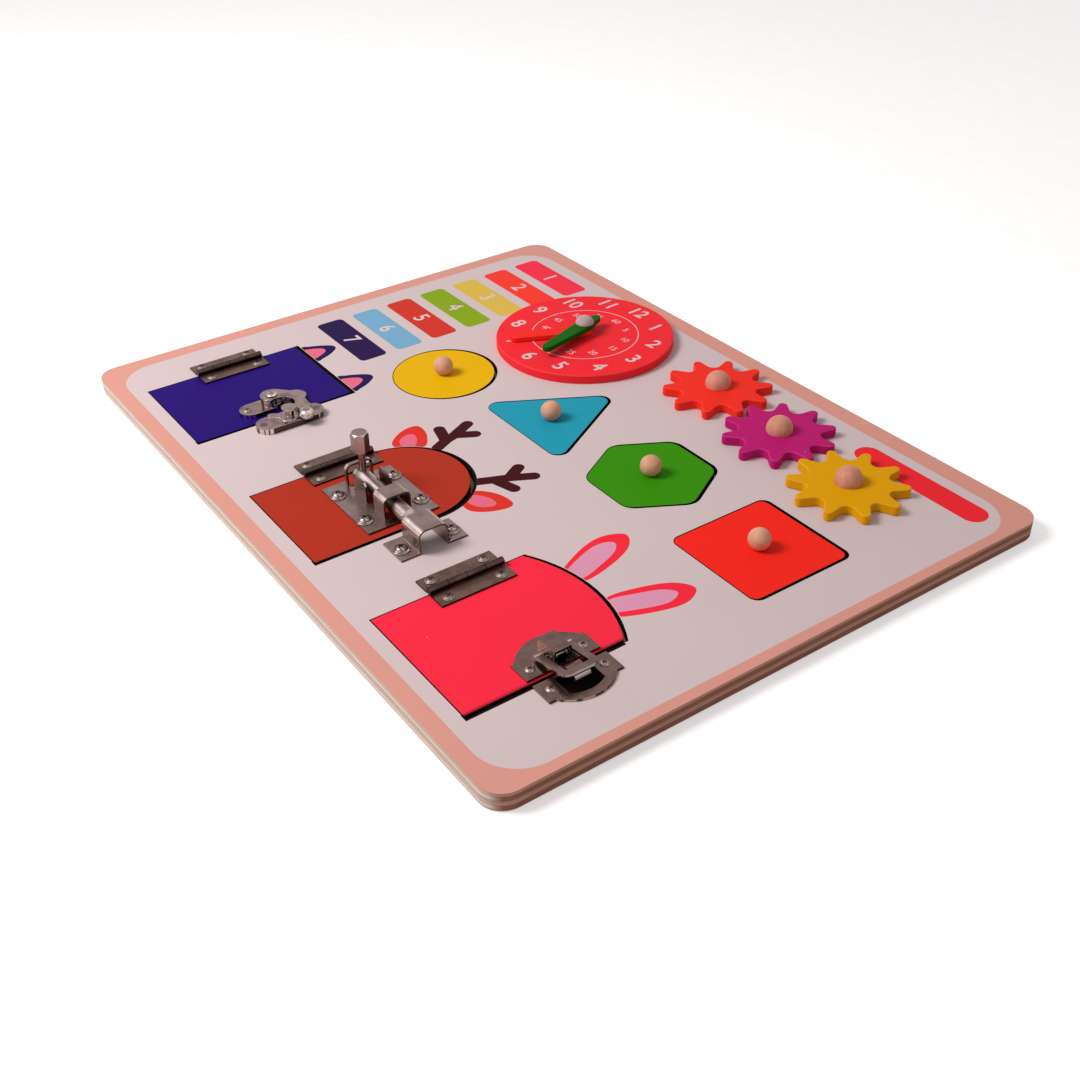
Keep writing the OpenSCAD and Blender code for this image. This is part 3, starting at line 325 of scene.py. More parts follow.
# %% Group: turned beech
tree, taken, given = new_group("turned_beech", [
    ("Wood", "Color", srgb(222, 176, 146)), ("Fleck", "Color", srgb(160, 104, 74)),
    ("Flecks", "Float", 0.5)],
    [("Color", "Color"), ("Roughness", "Float"), ("Height", "Float")])
place = put(tree, "TexCoord").outputs["Object"]
bands = noise(tree, place, 260, 3, (1, 1, 0.25))
flecks = fade(tree, noise(tree, place, 1100, 2, (1, 1, 0.22)), 0.56, 0.68)
grown = shaded(tree, taken["Wood"], fade(tree, bands, 0.3, 0.7, 0.88, 1.1))
flecked = mix(tree, calc(tree, "MULTIPLY", flecks, taken["Flecks"]), grown, taken["Fleck"])
tree.links.new(flecked, given["Color"])
tree.links.new(fade(tree, bands, 0.3, 0.7, 0.42, 0.58), given["Roughness"])
tree.links.new(calc(tree, "MULTIPLY", flecks, -1.0), given["Height"])
beech_group = tree
print("group", tree.name, len(tree.nodes), "nodes")

# %% [markdown]
# ## Effect: distance from a rounded rectangle
# The front print is a pale panel inside a salmon border, and the board itself is a rounded
# rectangle too. A mask could be painted, but a rounded rectangle has an exact formula: how far a
# point lies outside it, negative within. Comparing it with zero gives an edge that stays sharp.

# %% Group: rounded field
tree, taken, given = new_group("rounded_field", [
    ("Middle", "Vector", (0, 0, 0)), ("Half Size", "Vector", (0.2, 0.15, 0)), ("Corner", "Float", 0.015)],
    [("Distance", "Float")])
place = put(tree, "TexCoord").outputs["Object"]
off = put(tree, "VectorMath", {0: place, 1: taken["Middle"]}, operation="SUBTRACT").outputs[0]
off = put(tree, "VectorMath", {0: off}, operation="ABSOLUTE").outputs[0]
off = put(tree, "VectorMath", {0: off, 1: taken["Half Size"]}, operation="SUBTRACT").outputs[0]
parts = put(tree, "SeparateXYZ", {0: off}).outputs
over = [calc(tree, "ADD", parts[k], taken["Corner"]) for k in (0, 1)]
far = [calc(tree, "MAXIMUM", v, 0.0) for v in over]
squares = [calc(tree, "MULTIPLY", v, v) for v in far]
reach = calc(tree, "SQRT", calc(tree, "ADD", *squares))
within = calc(tree, "MINIMUM", calc(tree, "MAXIMUM", *over), 0.0)
distance = calc(tree, "SUBTRACT", calc(tree, "ADD", reach, within), taken["Corner"])
tree.links.new(distance, given["Distance"])
field_group = tree
print("group", tree.name, len(tree.nodes), "nodes")

# %% [markdown]
# ## From effects to materials
# `start` opens a material with a Principled shader, `effect` places a group in it, and `surface`
# wires colour, roughness and relief to the shader. Relief goes through a Bump node whose distance
# is a real depth, so paint, wood and metal keep their own scale. The effects of paint, wood and
# metal give colour, roughness and height in this order, so `blend_sets` can go from one to another.

# %% Helpers for materials
def start(name, **fixed):
    material = bpy.data.materials.new(name)
    material.use_nodes = True
    tree = material.node_tree
    shader = tree.nodes["Principled BSDF"]
    for label, value in fixed.items():
        shader.inputs[label.replace("_", " ")].default_value = value
    return material, tree, shader


def effect(tree, group, **values):
    made = put(tree, "Group", node_tree=group)
    for label, value in values.items():
        made.inputs[label.replace("_", " ")].default_value = value
    return made.outputs


def surface(tree, shader, color, roughness, height, depth):
    tree.links.new(color, shader.inputs["Base Color"])
    tree.links.new(roughness, shader.inputs["Roughness"])
    bump = put(tree, "Bump", {"Height": height, "Distance": depth, "Strength": 1.0})
    tree.links.new(bump.outputs[0], shader.inputs["Normal"])


def blend_sets(tree, share, first, second):
    """Colour, roughness and height of one effect, going over into those of another."""
    return (mix(tree, share, first[0], second[0]),
            calc(tree, "MULTIPLY_ADD", share, calc(tree, "SUBTRACT", second[1], first[1]), first[1]),
            calc(tree, "MULTIPLY_ADD", share, calc(tree, "SUBTRACT", second[2], first[2]), first[2]))


finishes = {}
print("material helpers ready")

# %% [markdown]
# ## Bare plywood
# The backing sheet has no paint, so its material is the plywood effect by itself.

# %% Bare plywood
material, tree, shader = start("bare_plywood", Specular_IOR_Level=0.08)
surface(tree, shader, *effect(tree, ply_group), depth=0.00012)
finishes["plywood"] = material
print("finishes", list(finishes))

# %% [markdown]
# ## The printed front
# The front sheet is printed on its face, shows its plies on the outer edge, and is burnt where
# doors and pieces were cut out. One material does all three by asking where a point lies: on the
# face, on the outer edge, or on the wall of an opening. The arris of an opening is burnt too, so
# paint gives way to char as soon as the surface tilts. Right of each door a narrow band of the face
# is dark with painted shadow, and so is a disc round the brown door's arch that is shifted a little.

# %% Printed front
material, tree, shader = start("printed_front", Specular_IOR_Level=0.03)
sheet = effect(tree, field_group, Middle=(0, 0, 0), Half_Size=(0.2, 0.15, 0), Corner=0.011)
panel = effect(tree, field_group, Middle=(0.00205, -0.0014, 0), Half_Size=(0.19275, 0.1409, 0),
               Corner=0.0205)
white = effect(tree, paint_group, Paint=srgb(209, 190, 190), Drift=0.07, Grain=0.2, Specks=0.5)
salmon = effect(tree, paint_group, Paint=srgb(216, 152, 138), Drift=0.09, Grain=0.3, Specks=0.3)
printed = blend_sets(tree, fade(tree, panel["Distance"], -0.0001, 0.0001), white, salmon)
outer = fade(tree, sheet["Distance"], -0.0016, -0.0014)
cut = blend_sets(tree, outer, effect(tree, char_group), effect(tree, ply_group))
face_height = (0.0084, 0.0085)
burn = [calc(tree, "MULTIPLY_ADD", outer, -0.75, level) for level in (0.8, 0.95)]
face = calc(tree, "MULTIPLY", fade(tree, coordinate(tree, 2, "Normal"), *burn),
            fade(tree, coordinate(tree, 2), *face_height))

# Painted shadow: dark bands of the face right of each door, and a shifted disc round the brown door's
# arch, stand for the shade in the gaps beside them.
arch_middle, arch_radius = (0.0015, -0.0699, 0), 0.0346
band_width, band_foot = 0.004, 0.0009
band_reach = {"blue_door": (0.0019, 0.0009), "brown_door": (0.0022, -0.0335),
              "pink_door": (0.0029, -0.0108)}
scorched = effect(tree, field_group, Middle=arch_middle, Half_Size=(arch_radius, arch_radius, 0),
                  Corner=arch_radius)["Distance"]
for door, (beyond, above) in band_reach.items():
    low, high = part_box(door)
    foot, top = low.y - band_foot, high.y + above
    band = effect(tree, field_group, Middle=(high.x + beyond - band_width / 2, (foot + top) / 2, 0),
                  Half_Size=(band_width / 2, (top - foot) / 2, 0), Corner=0.0)["Distance"]
    scorched = calc(tree, "MINIMUM", scorched, band)
face = calc(tree, "MULTIPLY", face, fade(tree, scorched, -0.0001, 0.0001))
surface(tree, shader, *blend_sets(tree, face, cut, printed), depth=0.00006)
finishes["printed_panel"] = material
print("burnt bands beside", list(band_reach))

# %% [markdown]
# ## Painted pieces
# Doors and loose pieces are painted on the face only: their sides are burnt by the laser, and
# their backs stay bare. The gears, the clock and its hands are routed from thicker wood, rounded
# over and sprayed all round, so their sides have the face's colour. Painted shade darkens the
# paint towards the right edge of the pink door and the top edge of the blue one.

# %% Painted finishes
def painted(name, paint, sawn, drift=0.12, grain=0.5, wear=0.1, specks=0.3, depth=0.00006,
            smoke=None):
    """Paint all over, or on the face only if sawn; the last argument is painted shade towards an edge:
    (axis, where it starts, where it ends).
    """
    material, tree, shader = start(name, Specular_IOR_Level=0.02)
    coat = effect(tree, paint_group, Paint=paint, Drift=drift, Grain=grain, Specks=specks)
    # Edge mask: lighter arrises, partly wear and partly painted highlight.
    rub = effect(tree, edge_group, Wear=wear)["Mask"]
    light = tuple(0.55 * v + 0.45 for v in paint[:3]) + (1.0,)
    parts = (mix(tree, rub, coat["Color"], light), coat["Roughness"], coat["Height"])
    if sawn:
        up = coordinate(tree, 2, "Normal")
        back = fade(tree, up, -0.9, -0.8, 1, 0)
        bare = blend_sets(tree, back, effect(tree, char_group), effect(tree, ply_group))
        parts = blend_sets(tree, fade(tree, up, 0.8, 0.95), bare, parts)
    # Painted shade: the paint darkens to near-black towards one edge.
    if smoke:
        axis, clean, black = smoke
        sooty = calc(tree, "POWER", fade(tree, coordinate(tree, axis), clean, black), 1.2)
        parts = (mix(tree, sooty, parts[0], srgb(22, 6, 6)), *parts[1:])
    surface(tree, shader, *parts, depth)
    return material


paints = {
    "blue_paint": (srgb(38, 13, 108), True), "brown_paint": (srgb(172, 51, 35), True),
    "pink_paint": (srgb(247, 46, 70), True), "yellow_paint": (srgb(228, 176, 10), True),
    "teal_paint": (srgb(36, 152, 176), True), "green_paint": (srgb(56, 140, 10), True),
    "red_paint": (srgb(247, 42, 32), True), "clock_paint": (srgb(243, 44, 54), False),
    "orange_paint": (srgb(246, 44, 38), False), "dark_green_paint": (srgb(20, 96, 16), False),
    "purple_paint": (srgb(186, 28, 110), False)}
pink_edge, blue_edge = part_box("pink_door")[1].x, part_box("blue_door")[1].y
# Painted shade along the pink door's right edge and the blue door's top edge.
smoked = {"pink_paint": (0, pink_edge - 0.0021, pink_edge + 0.0004),
          "blue_paint": (1, blue_edge - 0.0008, blue_edge - 0.0006)}
for name, (paint, sawn) in paints.items():
    finishes[name] = painted(name, paint, sawn, smoke=smoked.get(name))
own = {"red_gear": painted("red_gear_paint", srgb(244, 50, 38), False),
       "yellow_gear": painted("yellow_gear_paint", srgb(222, 158, 8), False)}
print("painted finishes", len(paints) + len(own))

# %% [markdown]
# ## Wooden knobs
# Knobs and pegs are lacquered beech. The pegs of the gears are a little darker, and the clock's
# knob is a pale, greyish wood.

# %% Wood finishes
for name, wood, fleck in (("beech", srgb(216, 158, 128), srgb(160, 98, 74)),
                          ("gear_beech", srgb(206, 140, 118), srgb(150, 88, 70)),
                          ("pale_wood", srgb(184, 164, 160), srgb(148, 126, 120))):
    material, tree, shader = start(name, Specular_IOR_Level=0.12)
    turned = effect(tree, beech_group, Wood=wood, Fleck=fleck, Flecks=0.25)
    surface(tree, shader, *turned, depth=0.00003)
    finishes[name] = material
own.update({f"{color}_gear_peg": finishes["gear_beech"] for color in ("red", "purple", "yellow")})
print("finishes", len(finishes) + len(own))

# %% [markdown]
# ## Metal
# The metals share one effect: dull brown-grey plating on the hinges, pressed steel on the bolt, a
# glossy casting for the hook, dark pressings for the box latch, and dark screws whose rims carry a
# painted highlight. The barrels of the hinges stand above their leaves and get painted shade, which
# makes them darker still.

# %% Metal finishes
def metal(name, plate, tarnish, clouds, walls, gloss, scratches, depth, wear, glints, size=1.0,
          raised=None):
    """Plated metal; gloss is (lowest, highest) roughness; the last gives heights where painted shade
    darkens it.
    """
    material, tree, shader = start(name, Metallic=1.0)
    made = effect(tree, metal_group, Metal=plate, Tarnish=tarnish, Clouds=clouds, Walls=walls,
                  Gloss_Low=gloss[0], Gloss_High=gloss[1], Scratches=scratches, Glints=glints,
                  Size=size)
    color = made["Color"]
    # Painted shade: above the given heights, as on the hinge barrels, the colour darkens towards the
    # tarnish colour.
    if raised:
        color = mix(tree, fade(tree, coordinate(tree, 2), *raised, 0, 0.75), color, tarnish)
    # Lighter edges: partly wear, mostly painted highlight in this lighter colour.
    rub = effect(tree, edge_group, Wear=wear)["Mask"]
    bright = tuple(min(1, 1.5 * v + 0.22) for v in plate[:3]) + (1.0,)
    surface(tree, shader, mix(tree, rub, color, bright), made["Roughness"], made["Height"], depth)
    return material


metals = {
    "hinge_nickel": dict(
        plate=srgb(112, 84, 76), tarnish=srgb(36, 20, 16), clouds=0.5, walls=1.0, gloss=(0.3, 0.46),
        scratches=0.5, depth=0.00004, wear=0.12, glints=0.0, raised=(0.0103, 0.0108)),
    "screw_steel": dict(
        plate=srgb(116, 94, 88), tarnish=srgb(30, 16, 14), clouds=0.3, walls=1.0, gloss=(0.4, 0.55),
        scratches=0.3, depth=0.00002, wear=0.3, glints=0.2, size=2.0),
    "cast_nickel": dict(
        plate=srgb(150, 126, 122), tarnish=srgb(40, 24, 22), clouds=0.6, walls=0.8, gloss=(0.12, 0.26),
        scratches=0.2, depth=0.00008, wear=0.7, glints=0.9),
    "bolt_steel": dict(
        plate=srgb(138, 116, 112), tarnish=srgb(58, 40, 36), clouds=0.35, walls=0.7, gloss=(0.22, 0.38),
        scratches=0.7, depth=0.00003, wear=0.9, glints=0.6),
    "latch_nickel": dict(
        plate=srgb(112, 88, 82), tarnish=srgb(36, 22, 20), clouds=0.4, walls=0.85, gloss=(0.22, 0.38),
        scratches=0.5, depth=0.00003, wear=0.9, glints=0.6)}
for name, settings in metals.items():
    finishes[name] = metal(name, **settings)
own["bolt_plate_screws"] = own["bolt_keeper_screws"] = metal(
    "pan_screw_steel", plate=srgb(110, 88, 82), tarnish=srgb(22, 12, 10), clouds=0.6, walls=1.0,
    gloss=(0.22, 0.36), scratches=0.3, depth=0.00002, wear=0.3, glints=0.4, size=2.0)
print("finishes", len(finishes) + len(own))

# %% [markdown]
# ## Soft edges on the solids
# Real edges are never sharp, and the thin highlights along them are what makes paint and metal
# look real. A Bevel modifier rounds them without touching the solids' own meshes. Before it, Weld
# joins the split corners and a planar Decimate removes the flat triangles. After it, a small
# geometry node group marks the edges that stay crisp, and Weighted Normal keeps the flats flat.

# %% Soft edges
crease = math.radians(38)
crisp = bpy.data.node_groups.new("crisp_normals", "GeometryNodeTree")
crisp.interface.new_socket("Geometry", in_out="INPUT", socket_type="NodeSocketGeometry")
crisp.interface.new_socket("Geometry", in_out="OUTPUT", socket_type="NodeSocketGeometry")
coming = crisp.nodes.new("NodeGroupInput")
going = crisp.nodes.new("NodeGroupOutput")
corner = crisp.nodes.new("GeometryNodeInputMeshEdgeAngle")
steep = crisp.nodes.new("FunctionNodeCompare")
steep.inputs[1].default_value = crease
marked = crisp.nodes.new("GeometryNodeSetMeshNormal")
marked.inputs["Remove Custom"].default_value = True
crisp.links.new(corner.outputs[0], steep.inputs[0])
crisp.links.new(steep.outputs[0], marked.inputs["Edge Sharpness"])
crisp.links.new(coming.outputs[0], marked.inputs[0])
crisp.links.new(marked.outputs[0], going.inputs[0])


def keep_crisp(made):
    made.modifiers.new("crisp", "NODES").node_group = crisp
    made.modifiers.new("steady", "WEIGHTED_NORMAL").keep_sharp = True


def soften(solid, width, rings):
    weld = solid.modifiers.new("weld", "WELD")
    weld.merge_threshold = 0.00001
    flat = solid.modifiers.new("flat", "DECIMATE")
    flat.decimate_type, flat.angle_limit = "DISSOLVE", math.radians(0.6)
    if width:
        bevel = solid.modifiers.new("bevel", "BEVEL")
        bevel.width, bevel.segments = width, rings
        bevel.limit_method, bevel.angle_limit, bevel.use_clamp_overlap = "ANGLE", crease, True
    keep_crisp(solid)


edge_widths = {
    "backing_board": 0.4, "top_board": 0.5, "blue_door": 0.55, "brown_door": 0.55, "pink_door": 0.55,
    "circle_piece": 0.5, "triangle_piece": 0.5, "hexagon_piece": 0.5, "square_piece": 0.5,
    "clock_dial": 0.7, "hour_hand": 0.5, "minute_hand": 0.6,
    "red_gear": 0.6, "purple_gear": 0.6, "yellow_gear": 0.6,
    "hook_base": 0.4, "hook_peg_base": 0.4, "hook_arm": 0.5, "hook_rivet": 0.2, "bolt_knob": 0.15}
pressed_width = 0.12
for name, solid in solids.items():
    pressed = any(word in name for word in ("leaf", "plate", "keeper", "lever", "link", "catch"))
    turned = "screws" in name or "pin" in name
    width = edge_widths.get(name, pressed_width if pressed and not turned else 0)
    soften(solid, width * MM, 2 if width < 0.5 else 3)
print("softened", len(solids), "solids")

# %% [markdown]
# ## Materials onto the solids
# The construction record names a finish for every solid. Most use it as it is. The red and the
# yellow gear share a colour with a flat piece but are painted all round, so they have their own,
# and so have the gears' pegs and the screws of the bolt.

# %% Materials onto the solids
finish_of = {part["node"]: part["material_slot"] for part in frame["record"]["subparts"]}
for name, solid in solids.items():
    solid.material_slots[0].material = own.get(name) or finishes[finish_of[name]]
print("dressed", len(finish_of), "solids")

# %% [markdown]
# ## Meshes from loops
# The gears, the screws' flanges and the print are made of closed loops of points, one above or
# inside the other. `loop` makes the points at one height, in mm, `bridge` fills the strip between
# each loop and the next, and `piece` makes the mesh an object of the scene.

# %% Helpers for meshes
def circle(x, y, r, steps):
    angles = [math.tau * k / steps for k in range(steps)]
    return [(x + r * math.cos(a), y + r * math.sin(a)) for a in angles]


def loop(mesh, points, z):
    return [mesh.verts.new((x * MM, y * MM, z * MM)) for x, y in points]


def bridge(mesh, loops):
    for first, second in zip(loops, loops[1:]):
        for k in range(len(first)):
            mesh.faces.new((first[k - 1], first[k], second[k], second[k - 1]))


def piece(name, mesh, material):
    bmesh.ops.recalc_face_normals(mesh, faces=mesh.faces)
    data = bpy.data.meshes.new(name)
    mesh.to_mesh(data)
    mesh.free()
    data.materials.append(material)
    made = bpy.data.objects.new(name, data)
    bpy.context.scene.collection.objects.link(made)
    return made


print("mesh helpers ready")

# %% [markdown]
# ## Gears
# The gears are routed from thick plywood: blunt round tips, straight flanks and deep round valleys,
# with all arrises rounded over. Bevelling a fine outline gives knots in the valleys. Here every tip
# and valley is an arc, so the outline set in by any amount is the same arcs with other radii, and
# the round-over is a stack of such outlines.

# %% Routed gears
def gear_outline(inset, tip=(26.5, 2.4), valley=(23.9, 3.7), teeth=10, steps=8):
    """Points of the outline set in by some mm; tip and valley are (way out, radius of the arc)."""
    half = math.pi / teeth
    away = Vector((valley[0] * math.cos(half) - tip[0], valley[0] * math.sin(half)))
    lean = math.atan2(away.y, away.x) - math.acos((tip[1] + valley[1]) / away.length)
    arcs = ((0, tip[0], tip[1] - inset, 0, lean),
            (half, valley[0], valley[1] + inset, math.pi, half - lean))
    made = []
    for tooth in range(teeth):
        for past, out, radius, inward, sweep in arcs:
            turn = 2 * half * tooth + past
            for k in range(steps + 1):
                angle = turn + inward + sweep * (2 * k / steps - 1)
                made.append((out * math.cos(turn) + radius * math.cos(angle),
                             out * math.sin(turn) + radius * math.sin(angle)))
    return made


def routed_gear(name, turn, material, low=9.1, high=14.0, edge=0.6, bore=4.05, chamfer=0.4):
    quarter = [math.pi / 2 * k / 4 for k in range(5)]
    rows = [(edge * (1 - math.sin(a)), low + edge * (1 - math.cos(a))) for a in quarter]
    rows += [(edge * (1 - math.cos(a)), high - edge * (1 - math.sin(a))) for a in quarter]
    mesh = bmesh.new()
    loops = [loop(mesh, gear_outline(inset), z) for inset, z in rows]
    outward = [Vector(point).normalized() for point in gear_outline(edge)]
    for radius, z in ((bore + chamfer, high), (bore, high - chamfer), (bore, low + chamfer),
                      (bore + chamfer, low)):
        loops.append(loop(mesh, [way * radius for way in outward], z))
    bridge(mesh, loops + loops[:1])
    peg_low, peg_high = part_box(name + "_peg")
    place = ((peg_low + peg_high) / 2).xy.to_3d()
    spin = Matrix.Translation(place) @ Matrix.Rotation(math.radians(turn), 4, "Z")
    bmesh.ops.transform(mesh, matrix=spin, verts=mesh.verts)
    made = piece(name + "_routed", mesh, material)
    made.data.shade_smooth()
    keep_crisp(made)
    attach(made, name)
    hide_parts(name)
    print(name, "is routed, turned by", round(turn, 1), "degrees")


print("a gear's outline has", len(gear_outline(0)), "points")

# %% [markdown]
# The three gears stand in a row that leans a little. Each is turned so that its teeth fall into
# the next one's valleys, but for the slack that the real ones have: the purple one lags, and the
# yellow one leads. All turns are in degrees.

# %% The row of gears
row_lean = -7.1
half_pitch = 18
purple_lag = 3.5
yellow_lead = 7.5
red_turn = 18.6
purple_turn = 180 + 2 * row_lean - red_turn + half_pitch + purple_lag
yellow_turn = 180 + 2 * row_lean - purple_turn + half_pitch - yellow_lead
routed_gear("red_gear", red_turn, own["red_gear"])
routed_gear("purple_gear", purple_turn, finishes["purple_paint"])
routed_gear("yellow_gear", yellow_turn, own["yellow_gear"])

# %% [markdown]
# ## Flanges of the screw heads
# The heads of the real screws spread into a thin flange at their foot, wider than the solids'
# domes. Each is a ring swept round the head, and the solids themselves say where the heads are.

# %% Flanges of the screw heads
head_reach = 7.5
pan_height = 2.4
small_height = 0.98


def heads(node):
    """Middle of each screw head in a node, in mm: its points lie in clusters."""
    clusters = []
    for point in (v.co for v in solids[node].data.vertices):
        for cluster in clusters:
            if (cluster[0].xy - point.xy).length < head_reach * MM:
                cluster.append(point)
                break
        else:
            clusters.append([point])
    return [[(min(p[k] for p in c) + max(p[k] for p in c)) / 2 / MM for k in (0, 1)] for c in clusters]


def flanges(node, body, foot, inner, outer, height, steps=32):
    profile = [(outer, 0), (outer, 0.5), (outer - height * 0.4, 0.9), (outer - height, 1),
               (inner + 0.1, 1.1), (inner, 1.6)]
    mesh = bmesh.new()
    for x, y in heads(node):
        bridge(mesh, [loop(mesh, circle(x, y, r, steps), foot + height * up) for r, up in profile])
    made = piece(node + "_flanges", mesh, own.get(node) or finishes["screw_steel"])
    made.data.shade_smooth()
    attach(made, body)
    print(node, "has", len(heads(node)), "heads")


plate_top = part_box("bolt_plate_screws")[1].z / MM - pan_height
flanges("bolt_plate_screws", "brown_door", plate_top, inner=2.9, outer=4.2, height=0.7)
flanges("bolt_keeper_screws", "board", plate_top, inner=2.9, outer=4.2, height=0.7)
leaf_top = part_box("hinge_board_screws")[1].z / MM - small_height
for node, body in (("hinge_board_screws", "board"), ("blue_hinge_screws", "blue_door"),
                   ("brown_hinge_screws", "brown_door"), ("pink_hinge_screws", "pink_door")):
    flanges(node, body, leaf_top, inner=1.9, outer=2.8, height=0.45)

# %% [markdown]
# ## Print on the front
# The days, the ears round the doors and the long pill are printed. Each is a film of ink a few
# hundredths of a millimetre thick, made as a flat mesh from its outline. A texture could hold
# them, but thin shapes stay sharp at any distance. Words are left out, and plain numbers stand
# for the seven days.

# %% Helpers for print
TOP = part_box("top_board")[1].z / MM
INK = 0.03


def inked(name, paint, drift=0.1):
    return painted(name, paint, False, drift=drift, grain=0.25, wear=0.0, specks=0.3, depth=0.00004)


def stadium(a, b, width, steps=12):
    """Outline of a stroke with round ends from a to b."""
    turn = math.atan2(b[1] - a[1], b[0] - a[0])
    return [(p[0] + width / 2 * math.cos(turn + side + math.pi * k / steps),
             p[1] + width / 2 * math.sin(turn + side + math.pi * k / steps))
            for p, side in ((b, -math.pi / 2), (a, math.pi / 2)) for k in range(steps + 1)]


def rounded(x0, x1, y0, y1, r, steps=8):
    """Outline of a rectangle with round corners."""
    corners = ((x1 - r, y1 - r), (x0 + r, y1 - r), (x0 + r, y0 + r), (x1 - r, y0 + r))
    quarter = [math.pi / 2 * k / steps for k in range(steps + 1)]
    return [(x + r * math.cos(base * math.pi / 2 + a), y + r * math.sin(base * math.pi / 2 + a))
            for base, (x, y) in enumerate(corners) for a in quarter]


def smooth(points, steps=10):
    """A closed curve through a few points."""
    made = []
    for i in range(len(points)):
        a, b, c, d = (Vector(points[(i + k - 1) % len(points)]) for k in range(4))
        for k in range(steps):
            t = k / steps
            bend = (2 * a - 5 * b + 4 * c - d) * t * t + (3 * b - a - 3 * c + d) * t ** 3
            made.append(tuple(0.5 * (2 * b + (c - a) * t + bend)))
    return made


def film(name, outlines, material, body="board", layer=1, overlap=0.004, root=0.01):
    """Ink films on the board, each outline a hair above the one before, so that they may overlap."""
    mesh = bmesh.new()
    for i, outline in enumerate(outlines):
        top = loop(mesh, outline, TOP + INK * layer + overlap * i)
        low = loop(mesh, outline, TOP - root)
        mesh.faces.new(top)
        bridge(mesh, (low, top))
    made = piece(name, mesh, material)
    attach(made, body)


def numeral(name, text, x, y, size, material, weight=0.0, turn=0.0, body="board", floor=TOP, layer=2):
    """Figures of some mm in size, a film of ink thick."""
    curve = bpy.data.curves.new(name, "FONT")
    curve.body, curve.size = text, size * MM
    curve.align_x, curve.align_y = "CENTER", "CENTER"
    curve.offset, curve.extrude = weight * MM, 0.02 * MM
    curve.materials.append(material)
    made = bpy.data.objects.new(name, curve)
    made.location = (x * MM, y * MM, (floor + INK * layer) * MM)
    made.rotation_euler.z = math.radians(turn)
    bpy.context.scene.collection.objects.link(made)
    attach(made, body)


print("print lies at z =", round(TOP, 2), "mm")

# %% [markdown]
# ## Day pills and the long pill
# Seven pills stand in a column left of the clock, and one long pill with round ends lies in the
# corner beside the gears. The long one is left bare.

# %% Pills
first_y, step, left, right, half_height = 122.7, 23.25, -178, -122.3, 8.25
pale_ink = inked("pale_ink", srgb(224, 194, 196), 0.05)
day_colors = [srgb(244, 52, 76), srgb(245, 62, 48), srgb(217, 182, 78), srgb(133, 164, 22),
              srgb(206, 54, 42), srgb(118, 166, 198), srgb(38, 20, 68)]
for day, paint in enumerate(day_colors):
    y = first_y - step * day
    pill = rounded(left, right, y - half_height, y + half_height, 3)
    film(f"day_pill_{day + 1}", [pill], inked(f"day_ink_{day + 1}", paint))
    numeral(f"day_number_{day + 1}", str(day + 1), -150.1, y, 13.5, pale_ink, 0.2)
film("long_pill", [rounded(107.5, 186, 119.75, 133.25, 6.7, 16)],
     inked("long_pill_ink", srgb(240, 42, 52)))
print("pills", len(day_colors) + 1)

# %% [markdown]
# ## The cat's ears
# Each door is a plain animal head, and its ears are printed on the board just above it. All ears
# are simple shapes drawn through a few points, with a smaller one inside in a paler ink. The
# cat's end level with the top of the blue door's opening.

# %% Cat ears
navy = inked("navy_ink", srgb(34, 18, 76))
rose = inked("rose_ink", srgb(224, 106, 130))
opening_top = -44.7
cat_ears = {"left": -147.8, "right": -104.5}
cat_ear = [(-10, -45), (-9, -40.5), (-5.8, -34), (-2.6, -29.6), (0, -28.6), (2.8, -29.8), (6.6, -35),
           (9, -41), (9.6, -45), (0, -52)]
cat_ear_inner = [(-6.2, -45), (-5.3, -40.6), (-3, -36.4), (-0.2, -34.8), (2.6, -36.4), (5.2, -41),
                 (6, -45), (0, -51)]
for side, x in cat_ears.items():
    for part, points, ink, layer in (("", cat_ear, navy, 1), ("_inner", cat_ear_inner, rose, 2)):
        curve = smooth([(x + along, up) for along, up in points])
        film(f"cat_ear_{side}{part}", [[(u, max(v, opening_top)) for u, v in curve]], ink, layer=layer)
print("cat ears at x =", list(cat_ears.values()), "mm")

# %% [markdown]
# ## The deer's antlers
# An antler is five strokes with round ends. Where a stroke would run over the door's opening it is
# pushed back to the opening's edge, as the real print was cut there. On the right that edge is the
# outer edge of the painted shadow. Each edge is an arc, given by its middle and its radius.

# %% Antlers
def clear_of(outline, middle, r):
    """The outline with every point kept out of a round opening."""
    made = []
    for x, y in outline:
        away = Vector((x - middle[0], y - middle[1]))
        if away.length < r:
            away *= r / away.length
        made.append((middle[0] + away.x, middle[1] + away.y))
    return made


brown_hole = ((0.4, -70.6), 34.6)
# The outer edge of the painted shadow round the brown door's arch, shifted a little.
brown_soot = ((1.5, -69.9), 34.6)
maroon = inked("maroon_ink", srgb(64, 18, 22))
antlers = {
    "left": [((-18, -39.6), (-21.5, -32.6)), ((-21.5, -32.6), (-23.3, -26.5)),
             ((-23.3, -26.5), (-28.9, -15.2)), ((-23.3, -26.5), (-18, -17.4)),
             ((-21.5, -32.6), (-32.8, -29.6))],
    "right": [((20.2, -41.3), (23.7, -33.5)), ((23.7, -33.5), (26.7, -26.5)),
              ((26.7, -26.5), (32.4, -16.1)), ((26.7, -26.5), (21.5, -17.8)),
              ((23.7, -33.5), (35.9, -30))]}
for side, strokes in antlers.items():
    hole = brown_hole if side == "left" else brown_soot
    film(f"antler_{side}", [clear_of(stadium(a, b, 6.2), *hole) for a, b in strokes], maroon)
print("antlers", list(antlers))

# %% [markdown]
# ## The ears of the deer and the rabbit
# These go round the arches of the brown and the pink door in the same way.

